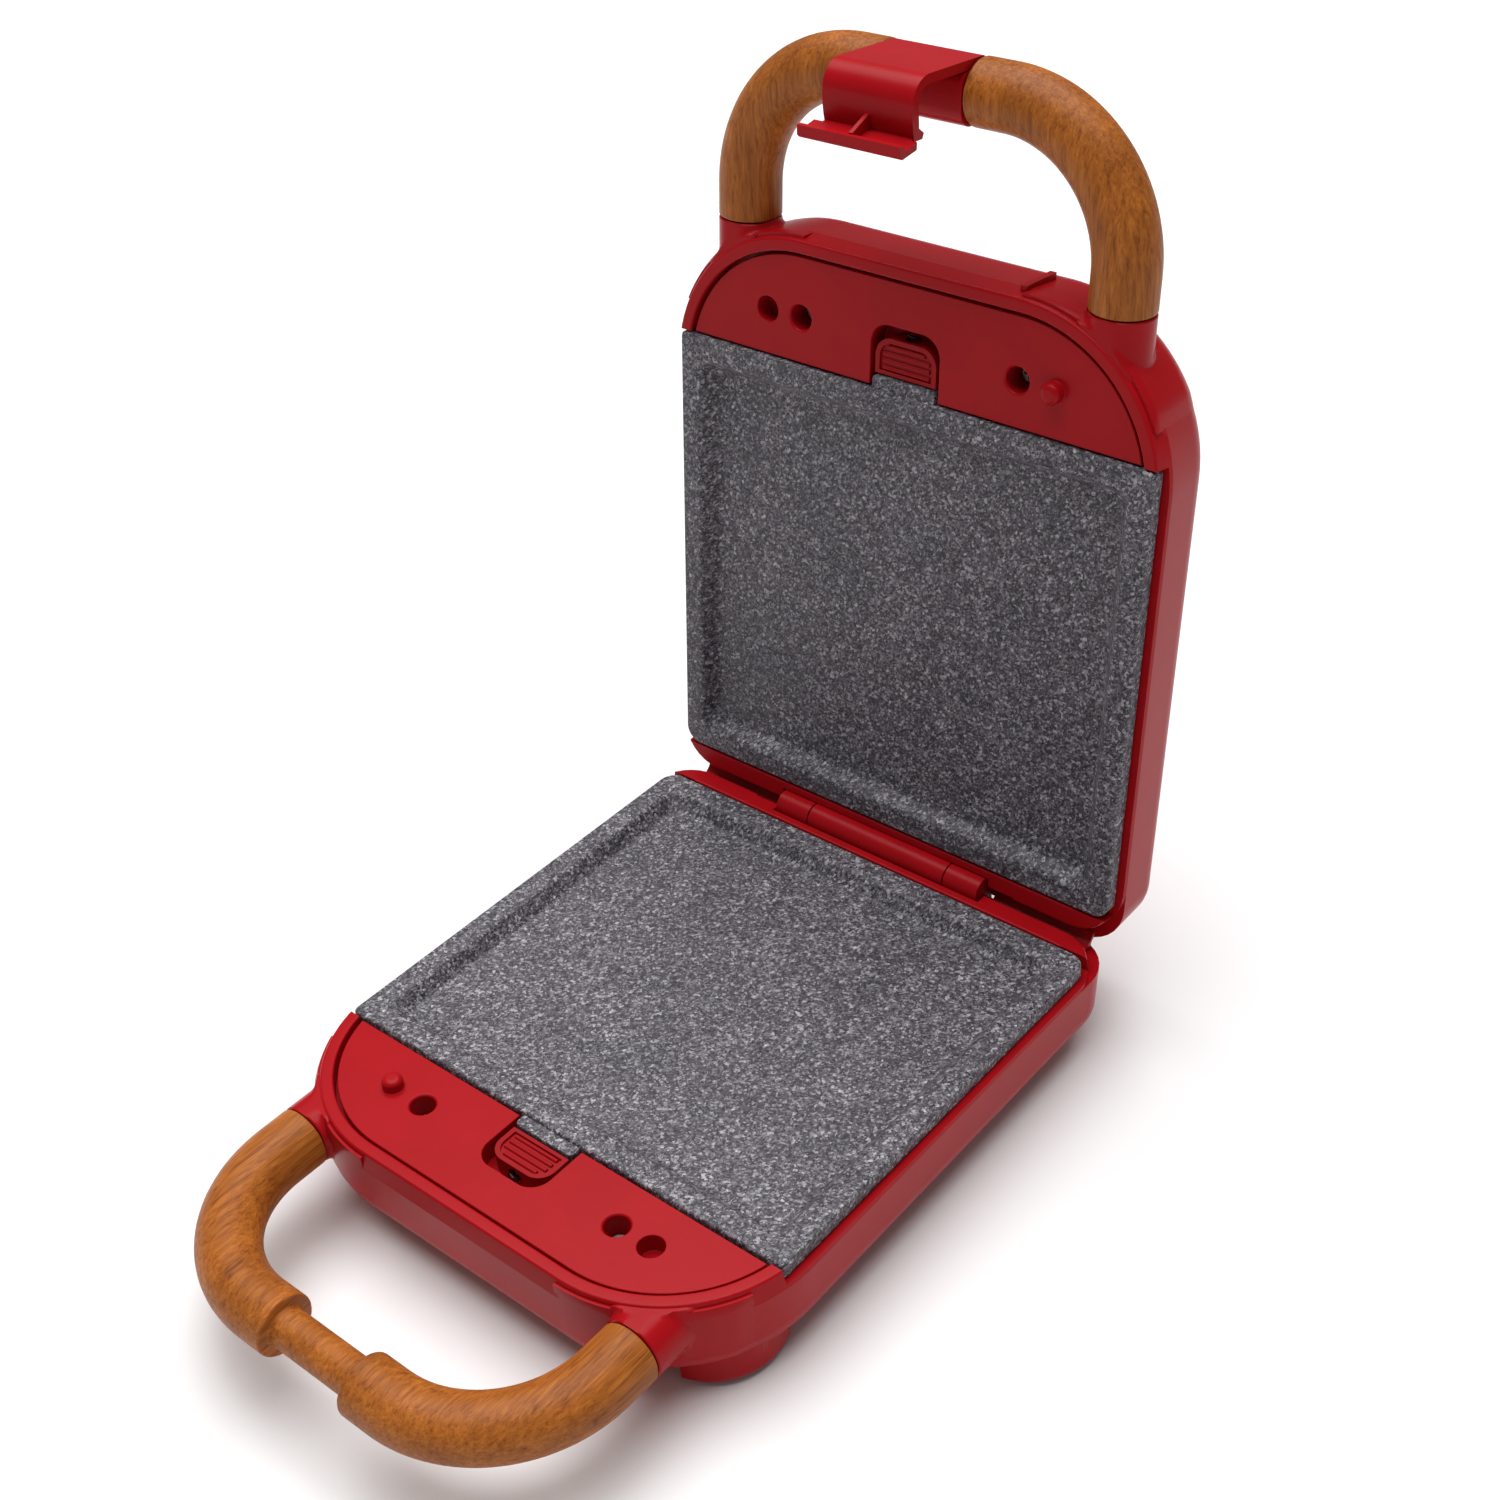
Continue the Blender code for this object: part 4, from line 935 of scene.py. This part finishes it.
def rounded_grip(side, end_x):
    """Path and radii of a grip whose ends have a small rounded edge."""
    path = handle_path(side, end_x)
    last_index = len(path) - 1
    taper = GRIP_RADIUS_MIDDLE - GRIP_RADIUS
    radii = [GRIP_RADIUS + taper * i / last_index for i in range(len(path))]
    first = (path[1] - path[0]).normalized()
    last = (path[-2] - path[-1]).normalized()
    start = [(path[0] + first * GRIP_EDGE * (1 - math.cos(a)), radii[0] - GRIP_EDGE * (1 - math.sin(a)))
             for a in EDGE_TURN]
    end = [(path[-1] + last * GRIP_EDGE * (1 - math.cos(a)), radii[-1] - GRIP_EDGE * (1 - math.sin(a)))
           for a in EDGE_TURN]
    stations = start + list(zip(path[1:-1], radii[1:-1])) + end[::-1]
    return [station[0] for station in stations], [station[1] for station in stations]


def spigot_bore(side):
    """The blind bore that takes a casing's spigot."""
    def build(bm):
        radius = SPIGOT_RADIUS + GAP
        profile = [(radius, GRIP_START_Y + 0.001), (radius, GRIP_START_Y - SPIGOT_LENGTH - 0.0008)]
        add_turned(bm, (side * HANDLE_X, HANDLE_Z), profile, 24, "Y")
    return build


def lower_grip(name):
    """The whole lower loop, with a thin round neck for the latch clip."""
    right, right_radii = rounded_grip(1, NECK_HALF)
    left, left_radii = rounded_grip(-1, NECK_HALF)
    neck_end = NECK_HALF - 0.00002
    neck_start = NECK_HALF - NECK_FILLET
    neck = [Vector((x, HANDLE_Y, HANDLE_Z)) for x in (neck_end, neck_start, 0.0, -neck_start, -neck_end)]
    root = NECK_RADIUS + NECK_FILLET
    neck_radii = [root, NECK_RADIUS, NECK_RADIUS, NECK_RADIUS, root]
    bm = bmesh.new()
    add_tube(bm, right + neck + left[::-1], right_radii + neck_radii + left_radii[::-1])
    made = to_object(name, bm, WOOD)
    each_shape(made, "DIFFERENCE", [spigot_bore(-1), spigot_bore(1)])
    finish_normals(made, 60)
    return made


def upper_grip(name, side):
    """One quarter bend between a lid stub and the bridge."""
    path, radii = rounded_grip(side, BRIDGE_HALF + GAP)
    bm = bmesh.new()
    add_tube(bm, path, radii)
    made = to_object(name, bm, UPPER_WOOD)

    def bridge_bore(bm):
        low, high = sorted((side * (BRIDGE_HALF - 0.001), side * (BRIDGE_HALF + 0.0075)))
        radius = BRIDGE_SPIGOT + GAP
        add_turned(bm, (HANDLE_Y, HANDLE_Z), [(radius, low), (radius, high)], 24, "X")

    each_shape(made, "DIFFERENCE", [spigot_bore(side), bridge_bore])
    finish_normals(made, 60)
    return made


# ---------------------------------------------------------------- latch
def latch_bridge(name):
    """The block between the upper grips: a spigot at each side, a slot and a pin bore for the clip."""
    pivot_y, pivot_z = CLIP_PIVOT.y, CLIP_PIVOT.z
    outer, inner = pivot_y - BRIDGE_RADIUS, -0.1842
    top, bottom = pivot_z - BRIDGE_RADIUS, -0.0010
    round_in, round_out = 0.0040, 0.0020
    outline = arc(pivot_y, pivot_z, BRIDGE_RADIUS, 180, 270, 16)
    outline += arc(inner - round_in, top + round_in, round_in, 270, 360, 12)
    outline += arc(inner - round_in, bottom - round_in, round_in, 0, 90, 12)
    outline += arc(outer + round_out, bottom - round_out, round_out, 90, 180, 8)
    bm = bmesh.new()
    add_prism(bm, outline, -BRIDGE_HALF, BRIDGE_HALF, "X")
    made = to_object(name, bm)

    def spigots(bm):
        reach = BRIDGE_HALF + 0.0066
        add_turned(bm, (HANDLE_Y, HANDLE_Z), [(BRIDGE_SPIGOT, -reach), (BRIDGE_SPIGOT, reach)], 24, "X")

    def slot(bm):
        add_box(bm, (-0.0033, outer - 0.002, top - 0.002), (0.0033, pivot_y + 0.0036, pivot_z + 0.0038))

    def pin_ways(bm):
        add_turned(bm, (pivot_y, pivot_z), [(0.0014, -0.0090), (0.0014, 0.0090)], 20, "X")

    each_shape(made, "UNION", [spigots])
    each_shape(made, "DIFFERENCE", [slot, pin_ways])
    soften(made, 0.0003)
    return made


LUG_RADIUS = 0.0032


def clip_outline():
    """Side view of the clip: flat arm, rounded corner, face under the neck, inward bead at its end."""
    inner_z = CLIP_FACE_Z - CLIP_THICK
    corner_y = CLIP_ARM_Y + CLIP_CORNER
    corner_z = CLIP_FACE_Z - CLIP_CORNER
    half_thick = CLIP_THICK / 2
    arm_end = CLIP_PIVOT.z - LUG_RADIUS
    points = arc(CLIP_ARM_Y + half_thick, arm_end + half_thick, half_thick, 360, 180, 10)
    points += arc(corner_y, corner_z, CLIP_CORNER, 180, 90, 20)
    for share in (0.25, 0.5, 0.75, 1.0):
        points.append((corner_y + (CLIP_END_Y - corner_y) * share, CLIP_FACE_Z - CLIP_LEAN * share ** 2))
    points += [(CLIP_END_Y, inner_z - 0.0018), (CLIP_END_Y - 0.0012, inner_z - 0.0023),
               (CLIP_END_Y - 0.0024, inner_z - CLIP_LEAN * 0.5)]
    points += arc(corner_y, corner_z, CLIP_CORNER - CLIP_THICK, 90, 180, 10)
    return points


def lip_outline():
    """Side view of the finger lip: a short shelf whose outer edge turns up."""
    shelf = CLIP_END_Y + 0.0014
    face = CLIP_FACE_Z
    under = [(CLIP_END_Y - 0.0006, face + 0.0003), (shelf - 0.0004, face + 0.0003)]
    edge = [(shelf + 0.0006, face + 0.0052), (shelf, face + 0.0060), (shelf - 0.0022, face + 0.0062)]
    return under + edge + [(shelf - 0.0023, face + 0.0050), (shelf - 0.0010, face + 0.0042)]


def latch_clip(name):
    """Flat arm, a face that hooks under the neck, and a finger lip with a small rib."""
    bm = bmesh.new()
    add_prism(bm, clip_outline(), -CLIP_HALF, CLIP_HALF, "X")
    made = to_object(name, bm)
    end, face = CLIP_END_Y, CLIP_FACE_Z

    pivot = (CLIP_PIVOT.y, CLIP_PIVOT.z)

    def lug(bm):
        arm = CLIP_ARM_Y + CLIP_THICK - 0.0010
        outline = [(arm, pivot[1] + LUG_RADIUS), (arm, pivot[1] - LUG_RADIUS)]
        add_prism(bm, outline + arc(*pivot, LUG_RADIUS, 270, 450, 20), -0.0029, 0.0029, "X")

    def root(bm):
        outline = [(end - 0.0008, face - 0.0022), (end + 0.0008, face - 0.0022),
                   (end + 0.0012, face + 0.0010), (end - 0.0004, face + 0.0010)]
        add_prism(bm, outline, GAP - CLIP_HALF, CLIP_HALF - GAP, "X")

    def lip(bm):
        add_prism(bm, lip_outline(), -LIP_HALF, LIP_HALF, "X")

    def rib(bm):
        outline = [(end - 0.0042, face - 0.0008), (end - 0.0006, face - 0.0012),
                   (end + 0.0006, face + 0.0044), (end - 0.0012, face + 0.0052)]
        add_prism(bm, outline, -0.0005, 0.0005, "X")

    def bore(bm):
        add_turned(bm, pivot, [(0.0013, -0.006), (0.0013, 0.006)], 20, "X")

    each_shape(made, "UNION", [lug, root, lip, rib])
    each_shape(made, "DIFFERENCE", [bore])
    soften(made, 0.0004, 3)
    return made


# ---------------------------------------------------------------- assembly
def build_pieces():
    """Build each visible piece in the half frame and put it on its body."""
    extras = []
    for side in (-1, 1):
        extras += [foot_skirt(side), front_foot(side), rear_foot(side), hinge_shroud(side)]
    shell = casing("base_shell", BASE_KNUCKLES, extras, [gland_hole])
    install(shell, BASE_FRAME, "base", "casing_red", "base_housing")
    cover = casing("lid_shell", LID_KNUCKLES, [wall_rib], [lens_hole(-1), lens_hole(1)])
    install(cover, LID_FRAME, "lid", "casing_red", "lid_housing")
    for level, matrix, body in (("lower", BASE_FRAME, "base"), ("upper", LID_FRAME, "lid")):
        install(deck(f"{level}_front_deck"), matrix, body, "casing_red", f"{level}_deck")
        button = f"{level}_release_button"
        install(release_button(f"{level}_ribbed_button"), matrix, button, "button_red", button)
        install(plate(f"{level}_stone_plate"), matrix, f"{level}_plate", "stone_coating", f"{level}_plate")
    install(lower_grip("lower_wood_loop"), BASE_FRAME, "base", "grip_wood", "lower_grip")
    install(upper_grip("upper_wood_left", 1), LID_FRAME, "lid", "grip_wood", "upper_grip_left")
    install(upper_grip("upper_wood_right", -1), LID_FRAME, "lid", "grip_wood", "upper_grip_right")
    install(latch_bridge("bridge_block"), LID_FRAME, "lid", "casing_red", "latch_bridge")
    install(latch_clip("hook_clip"), LID_FRAME, "latch_clip", "casing_red", "latch_clip")


CARRIED = {
    "deck_screw": SCREW_STEEL,
    "spring": SPRING_STEEL_PAINTED_SHADE,
    # The springs take the near-black steel whose colour is painted shade of the button well
    "pin": STEEL,
    "element": ELEMENT,
    "reflector": ALUMINIUM,
    "thermostat": CERAMIC,
    "fuse": CERAMIC,
    "terminal": CERAMIC,
    "pad": RUBBER,
    "gland": RUBBER,
    "lens": LENS,
}


def finish_carried_nodes():
    """Give each CAD node that stays on show its procedural material."""
    for name, node in frame["nodes"].items():
        for word, material in CARRIED.items():
            if word in name:
                node.data.materials.clear()
                node.data.materials.append(material)
                break


# ---------------------------------------------------------------- floor, light and camera
FLOOR_HALF = 6.0
FLOOR_DROP = 0.0002
WORLD_STRENGTH = 0.19
KEY_FROM_MIDDLE = Vector((-0.32, 0.30, 2.35))
KEY_SIZE = 3.0
KEY_POWER = 100.0


def stage_floor():
    """A plain pale floor just under the feet."""
    nodes = Nodes("floor_pale")
    cloud = nodes.noise(nodes.place(), 0.004, 2.0)
    base = nodes.ramp(cloud, [(0.3, (0.87, 0.87, 0.87)), (0.7, (0.89, 0.89, 0.89))])
    material = nodes.set(Base_Color=base, Roughness=0.85, Specular_IOR_Level=0.1)
    bm = bmesh.new()
    bmesh.ops.create_grid(bm, x_segments=1, y_segments=1, size=FLOOR_HALF)
    floor = to_object("floor", bm, material)
    floor.location.z = cad_low.z - FLOOR_DROP


def key_light():
    """One broad disk above the object and a little behind it."""
    data = bpy.data.lights.new("key", "AREA")
    data.shape = "DISK"
    data.size = KEY_SIZE
    data.energy = KEY_POWER
    light = bpy.data.objects.new("key", data)
    light.location = (cad_low + cad_high) / 2 + KEY_FROM_MIDDLE
    light.rotation_mode = "QUATERNION"
    light.rotation_quaternion = (-KEY_FROM_MIDDLE).to_track_quat("-Z", "Y")
    bpy.context.scene.collection.objects.link(light)


def light_scene():
    """A dim even world under the key light, and plain display colours."""
    world = bpy.data.worlds.new("studio")
    world.use_nodes = True
    background = world.node_tree.nodes["Background"]
    background.inputs["Color"].default_value = (1.0, 1.0, 1.0, 1.0)
    background.inputs["Strength"].default_value = WORLD_STRENGTH
    bpy.context.scene.world = world
    bpy.context.scene.view_settings.view_transform = "Standard"
    key_light()


CAMERA_AZIMUTH = math.radians(41.95)
CAMERA_ELEVATION = math.radians(35.99)
CAMERA_ROLL = math.radians(-4.27)
CAMERA_FROM_HINGE = Vector((0.26027, -0.33693, 0.34149))


def place_camera():
    """Look at the object from the front right and above, with a slight roll."""
    back = Vector((math.sin(CAMERA_AZIMUTH) * math.cos(CAMERA_ELEVATION),
                   -math.cos(CAMERA_AZIMUTH) * math.cos(CAMERA_ELEVATION), math.sin(CAMERA_ELEVATION)))
    across = Vector((0.0, 0.0, 1.0)).cross(back).normalized()
    up = back.cross(across)
    rolled = math.cos(CAMERA_ROLL) * across + math.sin(CAMERA_ROLL) * up
    rolled_up = back.cross(rolled)
    data = bpy.data.cameras.new("camera")
    data.sensor_width = 36.0
    data.lens = 51.0
    camera = bpy.data.objects.new("camera", data)
    turn = Matrix((rolled, rolled_up, back)).transposed().to_4x4()
    camera.matrix_world = Matrix.Translation(HINGE + CAMERA_FROM_HINGE) @ turn
    bpy.context.scene.collection.objects.link(camera)
    bpy.context.scene.camera = camera


place_camera()
light_scene()
stage_floor()
build_pieces()
finish_carried_nodes()
bpy.context.view_layer.update()
